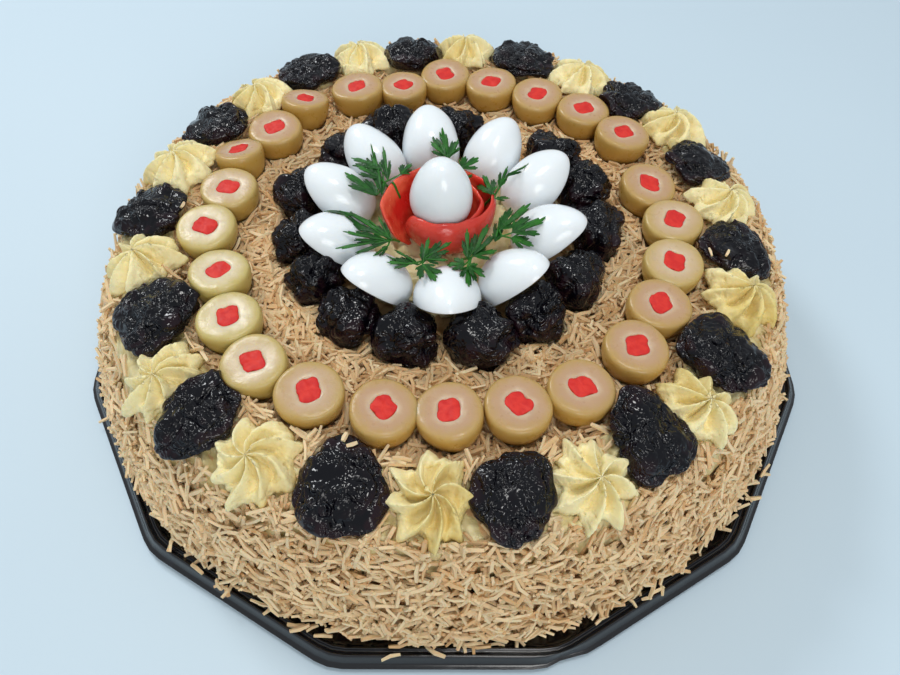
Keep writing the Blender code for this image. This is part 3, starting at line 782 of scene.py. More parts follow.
def make_core(finish):
    """The mash that the sticks are pressed into, a little inside the coat."""
    side = np.stack((SIDE_RADII - CORE_DEPTH, SIDE_HEIGHTS), 1)[::-1] / MM
    top = (TOP - TOP_SINK) / MM
    foot = CAKE_FOOT / MM
    upper = [(30, top), (60, top), (100, top), (103.5, 54.6), (107, 60.4), (126, 55)]
    line = smooth_line(np.concatenate((upper, side, [(120, foot), (60, foot)])), 2)
    line = spread_evenly(line, 130) * MM
    rings = around(line[:, :1], even_turns(320), line[:, 1:])
    swell = lumps(rings, 9 * MM, 3) * 0.7 * MM + lumps(rings, 3 * MM, 4) * 0.35 * MM
    free = np.clip((rings[..., 2] - 2 * MM) / (5 * MM), 0, 1)
    radius = np.hypot(rings[..., 0], rings[..., 1])
    out = np.clip((radius - 100 * MM) / (20 * MM), 0, 1)
    rings[..., :2] *= (1 + swell * free * out / radius)[..., None]
    rings[..., 2] += swell * free * (1 - out) * 0.8
    rings[..., :2] += CAKE_CENTRE
    shape = wound((*CAKE_CENTRE, TOP - TOP_SINK), rings, (*CAKE_CENTRE, CAKE_FOOT))
    add_piece("salad_core", mesh_from("salad_core", shape), finish, "potato_sticks", "cake")


# Potato sticks

def stick_maker(finish):
    """A tree that lays a bent, slightly tapered stick on each point of a mesh."""
    tree, given = new_maker("Potato sticks", Bend="Float", Taper="Float")
    block = made(tree, "GeometryNodeMeshCube", {"Size": (1, 1, 1), "Vertices X": 3, "Vertices Y": 2,
                                                "Vertices Z": 2})
    x, y, z = axes(made(tree, "GeometryNodeInputPosition"))
    narrow = 1 - given["Taper"] * (abs(x) * 2) ** 3
    bow = given["Bend"] * (1 - 4 * x * x)
    spot = vector(tree, x, y * narrow, z * narrow + bow)
    shaped = made(tree, "GeometryNodeSetPosition", {"Geometry": block, "Position": spot})
    marked = store_mark(tree, shaped, "along", abs(x) * 2)

    def named(label, kind="FLOAT"):
        node = add_node(tree, "GeometryNodeInputNamedAttribute", {"Name": label}, data_type=kind)
        sockets = [socket for socket in node.outputs if socket.name == "Attribute" and socket.enabled]
        return Wire(tree, sockets[0])

    heading = made(tree, "FunctionNodeAlignRotationToVector", {"Vector": named("run", "FLOAT_VECTOR")},
                   axis="X")
    roll = made(tree, "FunctionNodeEulerToRotation", {"Euler": vector(tree, named("roll"))})
    turned = made(tree, "FunctionNodeRotateRotation", {"Rotation": heading, "Rotate By": roll},
                  rotation_space="LOCAL")
    size = vector(tree, named("length"), named("width"), named("height"))
    laid = made(tree, "GeometryNodeInstanceOnPoints",
                {"Points": given["Geometry"], "Instance": marked, "Rotation": turned, "Scale": size})
    close_maker(tree, laid, finish)
    return tree


class Sticks:
    """Where sticks lie: their middles, headings and sizes."""

    def __init__(self, middles, runs, draw, lengths=(6, 10.5), widths=(0.9, 1.35), shades=(0, 1)):
        count = len(middles)
        self.middles = middles
        self.runs = runs / np.linalg.norm(runs, axis=1, keepdims=True)
        self.lengths = draw.triangular(lengths[0], sum(lengths) / 2, lengths[1], count) * MM
        self.widths = draw.uniform(*widths, count) * MM
        self.heights = self.widths * draw.uniform(0.75, 1.05, count)
        self.rolls = draw.uniform(0, TAU, count)
        self.shades = draw.uniform(*shades, count)

    def along(self, share):
        return self.middles + self.runs * (self.lengths * share)[:, None]

    def keep(self, kept):
        for name in ("middles", "runs", "lengths", "widths", "heights", "rolls", "shades"):
            setattr(self, name, getattr(self, name)[kept])

    def mesh(self):
        """A mesh with one point for each stick, which holds the stick's heading and sizes."""
        start = bpy.data.meshes.new("stick_places")
        start.vertices.add(len(self.middles))
        start.vertices.foreach_set("co", self.middles.ravel())
        start.attributes.new("run", "FLOAT_VECTOR", "POINT").data.foreach_set("vector", self.runs.ravel())
        for label, values in (("length", self.lengths), ("width", self.widths), ("height", self.heights),
                              ("roll", self.rolls), ("shade", self.shades)):
            start.attributes.new(label, "FLOAT", "POINT").data.foreach_set("value", values)
        return start


def tray_level(points):
    """Height of the tray's upper face under each point."""
    normals = np.arange(TRAY_SIDES) * TAU / TRAY_SIDES
    reach = (points[:, 0, None] * np.cos(normals) + points[:, 1, None] * np.sin(normals)).max(1)
    radii, heights = np.array(TRAY_PROFILE).T * MM
    return np.interp(reach, radii, heights, right=-1)


def fits(sticks, toppings, reach, close=0.5 * MM):
    """True for each stick that stays over the tray, inside the coat and clear of the toppings."""
    good = np.ones(len(sticks.middles), bool)
    for share in (-0.5, -0.25, 0, 0.25, 0.5):
        points = sticks.along(share)
        level = tray_level(points) + 0.6 * MM
        radius = np.hypot(*(points[:, :2] - CAKE_CENTRE).T)
        good &= (points[:, 2] > level) & (np.abs(points[:, :2]).max(1) < TRAY_REACH - 1.2 * MM)
        good &= radius < np.interp(points[:, 2], COAT_HEIGHTS, COAT_RADII) + reach
        for i in np.flatnonzero(good):
            found = toppings.find_nearest(points[i], 12 * MM)
            if found[0] is not None:
                inside = (Vector(points[i]) - found[0]).dot(found[1]) < 0
                if inside or found[3] < close:
                    good[i] = False
    return good


def creamy_side(turn):
    """1 on the left of the cake, where cream is smeared over the shoulder, and 0 elsewhere."""
    return np.clip(np.cos(turn - math.radians(CREAMY_ANGLE)) * 2.4 - 1.3, 0, 1)


def headings(spin, first, second, lean):
    """Directions turned by spin from the first way towards the second, for sticks that lean out."""
    spin = spin[:, None]
    return (first * np.cos(spin) + second * np.sin(spin)) * np.cos(lean)[:, None]


def side_sticks(draw, count, toppings):
    """The deep coat round the side, fuller towards the tray."""
    height = draw.uniform(1.5, 57, count) * MM
    turn = draw.uniform(0, TAU, count)
    inner = np.interp(height, SIDE_HEIGHTS, SIDE_RADII) - CORE_DEPTH
    outer = np.interp(height, COAT_HEIGHTS, COAT_RADII) - 0.8 * MM
    radius = inner + (outer - inner) * draw.uniform(0, 1, count) ** 0.8
    way = around(1, turn)
    up = way * -0.18 + (0, 0, 1)
    spin = draw.uniform(0, math.pi, count)
    lean = np.radians(draw.normal(0, 17, count))
    runs = headings(spin, sideways(turn), up, lean) + way * np.sin(lean)[:, None]
    middles = around(radius, turn, height)
    middles[:, :2] += CAKE_CENTRE
    depth = (radius - inner) / (outer - inner)
    left = creamy_side(turn)
    bare = left * np.clip((height - 32 * MM) / (12 * MM), 0, 1) * 0.8
    sticks = Sticks(middles, runs, draw)
    # Sticks deeper in the coat get a lower shade and so a darker colour, a painted shade. Those on the creamy
    # left are paler for their cream, and the rest varies at random.
    sticks.shades = np.clip(0.35 + 0.35 * depth + 0.3 * left + draw.normal(0, 0.2, count), 0, 1)
    sticks.keep(fits(sticks, toppings, 1.6 * MM) & (draw.uniform(0, 1, count) > bare))
    return sticks


def top_sticks(draw, count, toppings):
    """Sticks lying on the top between the inner prunes, the olives and the outer ring."""
    turn = draw.uniform(0, TAU, count)
    radius = np.sqrt(draw.uniform(50**2, 108**2, count)) * MM
    middles = around(radius, turn, TOP + draw.uniform(-0.6, 5.0, count) * MM)
    middles[:, :2] += RING_CENTRE
    spin = draw.uniform(0, math.pi, count)
    lean = np.radians(draw.normal(0, 9, count))
    runs = around(np.cos(lean), spin, np.sin(lean))
    sticks = Sticks(middles, runs, draw, (5, 10))
    sticks.shades = np.clip(draw.normal(0.46, 0.2, count), 0, 1)
    sticks.keep(fits(sticks, toppings, 1.6 * MM))
    return sticks


def border_sticks(draw, count, toppings):
    """Sticks stuck in the cream of the border, in patches between and outside the outer ring."""
    turn = draw.uniform(0, TAU, count)
    radius = draw.uniform(104, 131, count) * MM
    level = BORDER_INNER[1] - BORDER_SLOPE * (radius - BORDER_INNER[0])
    middles = around(radius, turn, level + draw.uniform(0.1, 2.8, count) * MM)
    bare = lumps(middles * (1, 1, 0), 11 * MM, 75) + np.clip((radius - 112 * MM) / (8 * MM), -1, 1) * 0.35
    bare += creamy_side(turn) * 0.5
    middles[:, :2] += CAKE_CENTRE
    spin = draw.uniform(0, math.pi, count)
    lean = np.radians(draw.normal(4, 12, count))
    runs = headings(spin, sideways(turn), around(1, turn, -BORDER_SLOPE * 1.4), lean)
    runs[:, 2] += np.sin(lean)
    sticks = Sticks(middles, runs, draw)
    sticks.shades = np.clip(draw.normal(0.66, 0.22, count), 0, 1)
    sticks.keep(fits(sticks, toppings, 2.4 * MM, 0.2 * MM) & (bare < draw.uniform(-0.1, 0.5, count)))
    return sticks


def loose_sticks(draw, count, toppings):
    """Sticks that have dropped on the tray's floor and rim."""
    turn = draw.uniform(0, TAU, count)
    radius = draw.uniform(138, 149, count) * MM
    middles = around(radius, turn)
    spin = draw.uniform(0, math.pi, count)
    runs = around(1, spin, draw.normal(0, 0.08, count))
    sticks = Sticks(middles, runs, draw, (3, 10))
    ends = np.maximum(tray_level(sticks.along(0.5)), tray_level(sticks.along(-0.5)))
    sticks.middles[:, 2] = np.maximum(tray_level(sticks.middles), ends) + 1.7 * MM
    sticks.shades = np.clip(draw.normal(0.7, 0.2, count), 0, 1)
    sticks.keep(fits(sticks, toppings, 5 * MM))
    return sticks


def stray_sticks(draw, toppings):
    """The few bits of stick that have dropped on the outer prunes."""
    middles = np.array([toppings.ray_cast(VIEW_FROM, sight(x, y).normalized())[0] for x, y, _ in STRAYS])
    middles[:, 2] += 0.6 * MM
    runs = around(1, np.radians([heading for _, _, heading in STRAYS]))
    return Sticks(middles, runs, draw, (2.5, 4.5), (1, 1.3), (0.8, 1))


def lay_on_tray(mesh, count):
    """Lower each of the mesh's sticks until it touches the tray."""
    points = points_of(mesh)
    sticks = points.reshape(count, -1, 3)
    above = (points[:, 2] - tray_level(points)).reshape(count, -1).min(1)
    sticks[..., 2] -= above[:, None] - 0.05 * MM
    set_points(mesh, points)


def make_sticks(finish, toppings):
    """Every layer of sticks, each as one piece, with how far its sticks bow for their thickness."""
    tree = stick_maker(finish)
    draw = np.random.default_rng(11)
    share = 1
    for name, sticks, bend in (
        ("side_sticks", side_sticks(draw, int(SIDE_STICKS * share), toppings), 0.25),
        ("side_sticks_bent", side_sticks(draw, int(SIDE_STICKS * share), toppings), 0.8),
        ("top_sticks", top_sticks(draw, int(TOP_STICKS * share), toppings), 0.2),
        ("top_sticks_bent", top_sticks(draw, int(TOP_STICKS * share), toppings), 0.6),
        ("border_sticks", border_sticks(draw, int(BORDER_STICKS * share), toppings), 0.4),
        ("loose_sticks", loose_sticks(draw, DROPPED_STICKS, toppings), 0.5),
        ("stray_sticks", stray_sticks(draw, toppings), 0.1),
    ):
        mesh = made_by(tree, sticks.mesh(), {"Bend": bend, "Taper": 0.22})
        if name == "loose_sticks":
            lay_on_tray(mesh, len(sticks.middles))
        print(name, len(sticks.middles), "sticks")
        add_piece(name, mesh, finish, "potato_sticks")


# Olives

# Half an olive's outline from its hole to its foot: the share of its radius, and the height in
# millimetres
OLIVE_SECTION = [(0.33, 12.2), (0.36, 12.9), (0.385, 13.25), (0.43, 13.4), (0.5, 13.46), (0.6, 13.5),
                 (0.7, 13.5), (0.79, 13.47), (0.87, 13.38), (0.93, 13.15), (0.967, 12.7), (0.988, 12.05),
                 (0.998, 11.2), (1.0, 10.2), (0.99, 8.8), (0.965, 7.2), (0.925, 5.5), (0.87, 3.9),
                 (0.8, 2.5), (0.72, 1.3), (0.62, 0.4), (0.48, 0), (0.2, 0)]

# Olives that lean more than the rest: their number, and the direction and degrees of their lean
OLIVE_TILTS = {2: (110, 16), 4: (75, 14), 12: (330, 7), 11: (0, 6)}

# Olives that are paler and clearer than the rest: their number, and how much
PALE_OLIVES = {0: 0.9, 1: 0.5, 2: 0.2, 13: 0.4, 14: 0.5, 21: 0.3, 22: 0.7, 23: 1, 24: 1}


def make_olive(radius, draw):
    """One halved olive with its foot at height 0, and the filling that stands in its middle."""
    share, height = np.array(OLIVE_SECTION).T[..., None]
    turn = even_turns(56)
    phase = draw.uniform(0, TAU, 3)
    hole = 1 + 0.05 * np.cos(4 * turn + phase[0]) + 0.09 * np.cos(2 * turn + phase[1])
    skin = 1 + 0.02 * np.cos(2 * turn + phase[2]) + 0.012 * np.cos(3 * turn + phase[0])
    near = np.clip((0.8 - share) / 0.42, 0, 1) * (height > 12)
    rings = around(share * (near * hole + (1 - near) * skin) * radius, turn, height * MM)
    shift = draw.uniform(0, 1, 3)
    rings[..., 2] += lumps(rings + shift, 5 * MM, 5) * 0.22 * MM * (height > 1)
    cut = np.clip((height - 10.5) / 2.5, 0, 1)
    flesh = wound((0, 0, height[0, 0] * MM), rings, (0, 0, 0), across=share, cut=cut)
    way = directions(13, 96)
    flat = np.hypot(way[..., 0], way[..., 1])
    turn = turn_of(way)
    ragged = 1 + 0.1 * np.cos(4 * turn + phase[0]) + 0.09 * np.cos(2 * turn + phase[1])
    ragged += lumps(around(1, turn) * 3.4 * MM + shift, 1.1 * MM, 8) * 0.07
    reach = 0.372 * radius * ragged * np.minimum(flat * 1.25, 1) ** 0.7
    body = around(reach, turn, np.sign(way[..., 2]) * np.abs(way[..., 2]) ** 0.6 * 0.9 * MM)
    body += way * (lumps(body + shift, 1.6 * MM, 6) * 0.3 * MM)[..., None]
    body[..., 2] += draw.uniform(12.3, 12.8) * MM
    filling = wound(body[0].mean(0) + (0, 0, 0.02 * MM), body, body[-1].mean(0))
    return flesh, filling


def make_olives(finish, filling_finish):
    """Each run of olives as one piece, with their fillings as another."""
    draw = np.random.default_rng(21)
    shapes = []
    count = 0
    for number, run in enumerate(olive_places(), 1):
        bodies, fillings = [], []
        for middle, radius in run:
            tilt = OLIVE_TILTS.get(count, (draw.uniform(0, 360), draw.uniform(1, 6)))
            axis = Vector((-math.sin(math.radians(tilt[0])), math.cos(math.radians(tilt[0])), 0))
            lean = Matrix.Rotation(math.radians(tilt[1]), 4, axis)
            pivot = 5 * MM
            place = Matrix.Translation((*middle, TOP + GAP + pivot)) @ lean
            place = place @ Matrix.Translation((0, 0, -pivot))
            flesh, filling = make_olive(radius, draw)
            flesh.marks["pale"] = np.full(len(flesh.points), PALE_OLIVES.get(count, 0.1))
            bodies.append(flesh.moved(place))
            fillings.append(filling.moved(place))
            count += 1
        add_piece(f"olive_halves_{number}", mesh_from("olive_halves", joined(bodies)), finish, "olive",
                  f"olives_{number}")
        add_piece(f"olive_fillings_{number}", mesh_from("olive_fillings", joined(fillings)),
                  filling_finish, "pimento")
        shapes += bodies
    return shapes


# Prunes

def make_prune(size, depth, seed, rows, columns, wrinkle):
    """A wrinkled, creased prune with a flat foot at height 0."""
    way = directions(rows, columns)
    shift = Vector((seed, 0, 0))
    fold = np.array([noise.noise(Vector(one) * 1.7 + shift) for one in way.reshape(-1, 3)])
    fold = fold.reshape(way.shape[:2])
    crease = 0.35 * np.cos(3 * turn_of(way) + seed) * (1 - way[..., 2] ** 2)
    body = way * size * (1 + depth * (fold + crease))[..., None]
    out = way / size
    out /= np.linalg.norm(out, axis=2, keepdims=True)
    at = body + (seed * 7.7 * MM, 3 * MM, 0)
    deep = folds(at, 11 * MM, 31) ** 0.6 - 0.55
    middle = folds(at * (1, 1, 1.6), 4.5 * MM, 41) ** 0.6 - 0.45
    small = folds(at, 2.6 * MM, 51) ** 0.8 - 0.35
    patch = np.clip(lumps(at, 9 * MM, 61) * 2.4 + 0.7, 0.15, 1)
    body += out * (wrinkle * (2.9 * deep + 1.9 * patch * middle + 0.8 * patch * small))[..., None]
    floor = -0.72 * size[2]
    body[..., 2] = np.maximum(body[..., 2], floor) - floor
    rim = np.hypot(body[..., 0] / size[0], body[..., 1] / size[1])
    # Purple-brown towards the narrow rim, its own colour, plus a painted shade from the folds: lighter on
    # their ridges, darker in their creases.
    thin = np.clip((rim - 0.45) / 0.5, 0, 1) * 0.8 + np.clip(middle * 2, -0.2, 0.4)
    return wound(body[0].mean(0), body, body[-1].mean(0), thin=thin)


def make_outer_prunes(finish):
    """The outer prunes, which stay clear of the olives and of the rosettes beside them."""
    shapes = []
    for i, (angle, ring) in enumerate(OUTER_PRUNES):
        after = degrees_apart(ROSETTES[i][0], angle)
        before = degrees_apart(ROSETTES[i - 1][0], angle)
        size = OUTER_PRUNE_SIZE * (0.94 + 0.12 * math.sin(2.4 * i) ** 2)
        shape = make_prune(size, 0.16, 3.1 * i, 62, 150, 1.0 * MM)
        shape.points = place_on_border(shape.points, angle, ring)
        press_from_olives(shape.points)
        squeeze(shape.points, angle, PRUNE_SHARE * after * 1.04, PRUNE_SHARE * before * 1.04)
        name = f"outer_prune_{i + 1:02d}"
        add_piece(f"wrinkled_{name}", mesh_from(name, shape), finish, "prune", name)
        shapes.append(shape)
    return shapes


def make_inner_prunes(finish):
    """Each run of inner prunes as one piece, whose neighbours are pressed together."""
    everyone = sorted(angle for run in INNER_PRUNE_RUNS for angle, _ in run)
    shapes = []
    for number, run in enumerate(INNER_PRUNE_RUNS, 1):
        members = []
        for index, (angle, ring) in enumerate(run):
            shape = make_prune(INNER_PRUNE_SIZE, 0.22, angle, 48, 110, 1.0 * MM)
            turn = Matrix.Rotation(math.radians(angle), 4, "Z")
            shape.moved(Matrix.Translation((*on_ring(angle, ring * MM), TOP + GAP)) @ turn)
            ahead = min((other - angle) % 360 for other in everyone if other != angle) / 2
            behind = min((angle - other) % 360 for other in everyone if other != angle) / 2
            apart = math.degrees(0.6 * GAP / (ring * MM))
            press = math.degrees(PRUNE_PRESS / (ring * MM))
            joins_ahead, joins_behind = index > 0, index < len(run) - 1
            squeeze(shape.points, angle, -behind - (press if joins_behind else -apart),
                    ahead + (press if joins_ahead else -apart), joins_behind, joins_ahead)
            members.append(shape)
        whole = joined(members)
        add_piece(f"wrinkled_inner_prunes_{number}", mesh_from("inner_prunes", whole), finish, "prune",
                  f"inner_prunes_{number}")
        shapes.append(whole)
    return shapes


# Rosettes

def rosette_maker(finish):
    """A tree that pipes one star: swirled, rounded ridges with broad valleys round a hub."""
    tree, given = new_maker("Piped rosette", Radius="Float", Height="Float", Lobes="Float", Swirl="Float",
                            Notch="Float", Valley="Float", Rag="Float", Seed="Float")
    grid = made(tree, "GeometryNodeMeshGrid", {"Size X": 1.0, "Size Y": 1.0, "Vertices X": 50,
                                               "Vertices Y": 181})
    x, y, _ = axes(made(tree, "GeometryNodeInputPosition"))
    share = x + 0.5
    turn = (y + 0.5) * TAU
    foot = 0.88
    rise = (share / foot).calc("MINIMUM", 1.0)
    back = ((1 - share) / (1 - foot)).calc("MINIMUM", 1.0)
    cosine, sine = turn.calc("COSINE"), turn.calc("SINE")
    uneven = texture(tree, vector(tree, cosine, sine, given["Seed"]), 0.9, 1.0) - 0.5
    choppy = texture(tree, vector(tree, cosine * 3, sine * 3, given["Seed"]), 1.0, 1.0) - 0.5
    lobe = (turn * given["Lobes"] / TAU + uneven * 1.1).calc("FRACT")
    away = 1 - abs(lobe - 0.5) * 2
    ridge = 0.42
    valley = away * away * (1 + ridge**2) / (away * away + ridge**2)
    notch = given["Notch"] * valley * rise.between(0.15, 1.0)
    radius = given["Radius"] * rise ** 0.85 * (1 - notch) * (1 + uneven * 0.35 + choppy * 0.6 * rise)
    dome = (1 - rise ** 2.3).calc("MAXIMUM", 0.0) ** 0.75
    groove = (rise ** 0.7 * math.pi).calc("SINE").calc("MAXIMUM", 0.0) * valley
    bumpy = dome * (1 + uneven * 0.25 + choppy * 0.8 * rise)
    high = given["Height"] * (bumpy - given["Valley"] * groove * (dome + 0.25))
    high = (high - given["Height"] * (1 - rise.between(0.0, 0.16)) * 0.06).calc("MAXIMUM", 0.0)
    swirled = turn + given["Swirl"] * (1 - rise) ** 1.3
    on_foot = (share - foot - 0.001).between(0.0, 0.001)
    wide = radius * back
    spot = vector(tree, wide * swirled.calc("COSINE"), wide * swirled.calc("SINE"), high * (1 - on_foot))
    shaped = made(tree, "GeometryNodeSetPosition", {"Geometry": grid, "Position": spot})
    # The valley depth is stored as a mark that darkens the cream in the valleys: a painted shade.
    marked = store_mark(tree, shaped, "groove", groove)
    closed = made(tree, "GeometryNodeMergeByDistance", {"Geometry": marked, "Distance": 0.02 * MM})
    shift = add_node(tree, "ShaderNodeVectorMath", operation="ADD")
    plug(tree, shift.inputs[0], made(tree, "GeometryNodeInputPosition"))
    plug(tree, shift.inputs[1], vector(tree, given["Seed"], given["Seed"], 0.0))
    place = Wire(tree, shift.outputs[0])
    rag = (texture(tree, place, 0.0032, 4.0, 0.3, 0.65) - 0.5) * 2
    torn = texture(tree, place, 0.0024, 1.0).between(0.6, 0.74)
    push = add_node(tree, "ShaderNodeVectorMath", {"Scale": given["Rag"] * (rag - torn)}, operation="SCALE")
    plug(tree, push.inputs[0], made(tree, "GeometryNodeInputNormal"))
    ragged = made(tree, "GeometryNodeSetPosition", {"Geometry": closed,
                                                    "Offset": Wire(tree, push.outputs[0])})
    close_maker(tree, made(tree, "GeometryNodeSetShadeSmooth", {"Geometry": ragged}), finish)
    return tree


def make_rosettes(finish):
    """The rosettes, pressed between the outer prunes beside them."""
    tree = rosette_maker(finish)
    shapes = []
    for i, (angle, ring) in enumerate(ROSETTES):
        before = OUTER_PRUNES[i][0]
        after = OUTER_PRUNES[(i + 1) % len(OUTER_PRUNES)][0]
        high = (1 - PRUNE_SHARE) * degrees_apart(before, angle)
        low = (1 - PRUNE_SHARE) * degrees_apart(after, angle)
        start = bpy.data.meshes.new("rosette_start")
        mesh = made_by(tree, start, {"Radius": ROSETTE_RADIUS, "Height": ROSETTE_HEIGHT,
                                     "Lobes": ROSETTE_LOBES, "Swirl": 0.6 + 0.3 * math.sin(5 * i),
                                     "Notch": 0.26, "Valley": 0.6, "Rag": 0.75 * MM, "Seed": 1.3 * i})
        points = points_of(mesh)
        points = points @ np.array(Matrix.Rotation(0.7 * i, 3, "Z")).T
        points = place_on_border(points, angle, ring)
        press_from_olives(points)
        squeeze(points, angle, low * 1.32, high * 1.32)
        set_points(mesh, points)
        name = f"rosette_{i + 1:02d}"
        add_piece(f"piped_{name}", mesh, finish, "cream", name)
        faces = [tuple(face.vertices) for face in mesh.polygons]
        shapes.append(Shape(points, faces))
    return shapes


# Cream and mash

def make_smear(finish):
    """Cream smeared over the border, thick under the rosettes and ragged at its edges."""
    columns, rows = 700, 62
    turn = even_turns(columns)
    radius = np.linspace(SMEAR_RADII[0], SMEAR_RADII[-1], rows)[:, None]
    flat = around(radius, turn)
    level = np.interp(radius, SMEAR_RADII, SMEAR_HEIGHTS)
    cover = 0.5 + lumps(flat, 10 * MM, 71) * 0.8 + lumps(flat, 3.5 * MM, 72) * 0.5
    middle = 1 - np.abs((radius - 119 * MM) / (14.5 * MM)) ** 4
    thick = np.clip(cover * middle, -1, 1.2) * 1.8 * MM - 0.6 * MM
    rough = folds(flat, 4 * MM, 74) * 1.4 + folds(flat, 2 * MM, 76) * 0.8 - 0.7
    thick += (lumps(flat, 1.4 * MM, 73) * 0.4 + rough) * MM
    top = around(radius, turn, level + thick)
    foot = around(radius, turn, level - SMEAR_DEPTH)[::-8]
    loop = np.concatenate((top, foot))
    loop[..., :2] += CAKE_CENTRE
    # A mark that darkens the cream in its creases, which is a painted shade, and where the smear lies thin
    # over the mash.
    groove = np.clip(0.75 - cover * 0.3 - rough * 0.5, 0, 1)
    shape = closed_loop(loop, groove=np.concatenate((groove, np.zeros(foot.shape[:2]))))
    add_piece("border_cream", mesh_from("border_cream", shape), finish, "cream")


def closed_loop(rings, **marks):
    """A ring-shaped solid from rows of points that close on themselves both ways."""
    rows, columns = rings.shape[:2]
    index = np.arange(rows * columns).reshape(rows, columns)
    below, beside = np.roll(index, -1, 0), np.roll(index, -1, 1)
    faces = np.stack((index, below, np.roll(below, -1, 1), beside), -1).reshape(-1, 4)
    flat = {name: np.broadcast_to(values, (rows, columns)).ravel() for name, values in marks.items()}
    return Shape(rings.reshape(-1, 3), [tuple(face) for face in faces.tolist()], **flat)


def under_petal(radius):
    """Height of the mash under the petals, in millimetres, at this radius of the ring."""
    return PETAL_HEIGHT / MM + (radius - PETAL_RADIUS / MM) * math.tan(math.radians(PETAL_LEAN)) - 1.2


def make_bed(finish):
    """The mash that carries the petals and the rose, lumpy and curled where it shows."""
    line = [(2, BED_TOP), (19, BED_TOP), (23, 61), (27, 60.4), (30.4, under_petal(30.4)),
            (35, under_petal(35)), (39, under_petal(39) - 0.6), (40.2, 63.5), (40.6, 59), (40.8, 55.5),
            (20, BED_FOOT)]
    line = spread_evenly(smooth_line(line, 1), 120) * MM
    rings = around(line[:, :1], even_turns(300), line[:, 1:])
    curl = folds(rings, 6 * MM, 81) + 0.4 * folds(rings, 2.5 * MM, 84)
    bump = lumps(rings, 7 * MM, 82) * 1.2 + (curl - 0.45) * 3.4 + lumps(rings, 1.6 * MM, 83) * 0.5
    above = np.clip((rings[..., 2] - 56 * MM) / (3 * MM), 0, 1)
    rim = np.clip((line[:, 0] - 36 * MM) / (3 * MM), 0, 1)[:, None]
    rings[..., 2] += bump * above * (1 - 0.6 * rim) * MM
    rings[..., :2] *= (1 - (rim * np.clip(0.5 - curl, 0, 1) * 0.12))[..., None]
    rings[..., :2] += RING_CENTRE
    # The mark darkens the mash in the creases between its curls: a painted shade.
    shape = wound((*RING_CENTRE, BED_TOP * MM), rings, (*RING_CENTRE, BED_FOOT * MM),
                  groove=np.clip(0.9 - curl * 1.3, 0, 1))
    add_piece("petal_mash", mesh_from("petal_mash", shape), finish, "cream", "cream_bed")


# Eggs

# Petals that turn or lean more than the rest: their number, and the degrees of each
PETAL_TWISTS = {5: (18, 10), 7: (-14, 8), 0: (4, -4), 6: (0, -3)}

# Rings across a petal's cut face, from its edge in, as shares of its size, and how much each is mash
PETAL_CUT = ((0.985, 0), (0.95, 0), (0.86, 0), (0.77, 0.2), (0.74, 0.7), (0.7, 1), (0.6, 1), (0.45, 1),
             (0.3, 1), (0.12, 1))


def make_petals(finish):
    """Half eggs leaning outwards, their cut faces filled with mash inside a rim of white."""
    count = len(PETAL_ANGLES)
    tilt = np.radians(np.concatenate((np.linspace(3, 87, 30), (89, 90))))[:, None]
    way = around(np.sin(tilt), even_turns(84), np.cos(tilt))
    shares, mash = np.array(PETAL_CUT).T
    width = 1 - EGG_TAPER * way[..., 0]
    shapes = []
    for i, angle in enumerate(PETAL_ANGLES):
        dome = np.stack((way[..., 0] * PETAL_SIZE[0], way[..., 1] * PETAL_SIZE[1] * width,
                         way[..., 2] * PETAL_SIZE[2] * width), -1)
        dome += way * (lumps(dome + i * 40 * MM, 11 * MM, 91) * 0.45 * MM)[..., None]
        cut = dome[-1] * (shares[:, None, None] * (1, 1, 0))
        filled = np.concatenate((np.zeros(len(dome)), mash))[:, None]
        cut[4:, :, 2] += lumps(cut[4:] + i * 9 * MM, 3 * MM, 93) * 0.5 * MM + 0.15 * MM
        rings = np.concatenate((dome, cut))
        shape = wound(dome[0].mean(0) + (0, 0, 0.01 * MM), rings, cut[-1].mean(0), filled=filled)
        twist, extra = PETAL_TWISTS.get(i, (0, 0))
        lean = Matrix.Rotation(math.radians(-PETAL_LEAN - extra), 4, "Y")
        place = Matrix.Translation((*on_ring(angle, PETAL_RADIUS), PETAL_HEIGHT))
        shape.moved(place @ Matrix.Rotation(math.radians(angle + twist), 4, "Z") @ lean)
        ahead = ((PETAL_ANGLES[i - 1] - angle) % 360) / 2
        behind = ((angle - PETAL_ANGLES[(i + 1) % count]) % 360) / 2
        apart = math.degrees(0.6 * GAP / PETAL_RADIUS)
        squeeze(shape.points, angle, apart - behind, ahead - apart)
        name = f"egg_petal_{i + 1:02d}"
        add_piece(f"half_{name}", mesh_from(name, shape), finish, "egg_white", name)
        shapes.append(shape)
    return shapes


def make_centre_egg(finish):
    way = directions(60, 80)
    width = 1 - EGG_TAPER * way[..., 2]
    body = np.stack((way[..., 0] * EGG_SIZE[0] * width, way[..., 1] * EGG_SIZE[1] * width,
                     way[..., 2] * EGG_SIZE[2]), -1)
    body += way * (lumps(body, 10 * MM, 95) * 0.25 * MM)[..., None] - way * 0.2 * MM
    body += EGG_CENTRE
    pole = np.array((0, 0, EGG_SIZE[2] - 0.2 * MM))
    shape = wound(EGG_CENTRE + pole, body, EGG_CENTRE - pole, filled=0.0)
    add_piece("standing_egg", mesh_from("standing_egg", shape), finish, "egg_white", "centre_egg")


# Tomato rose

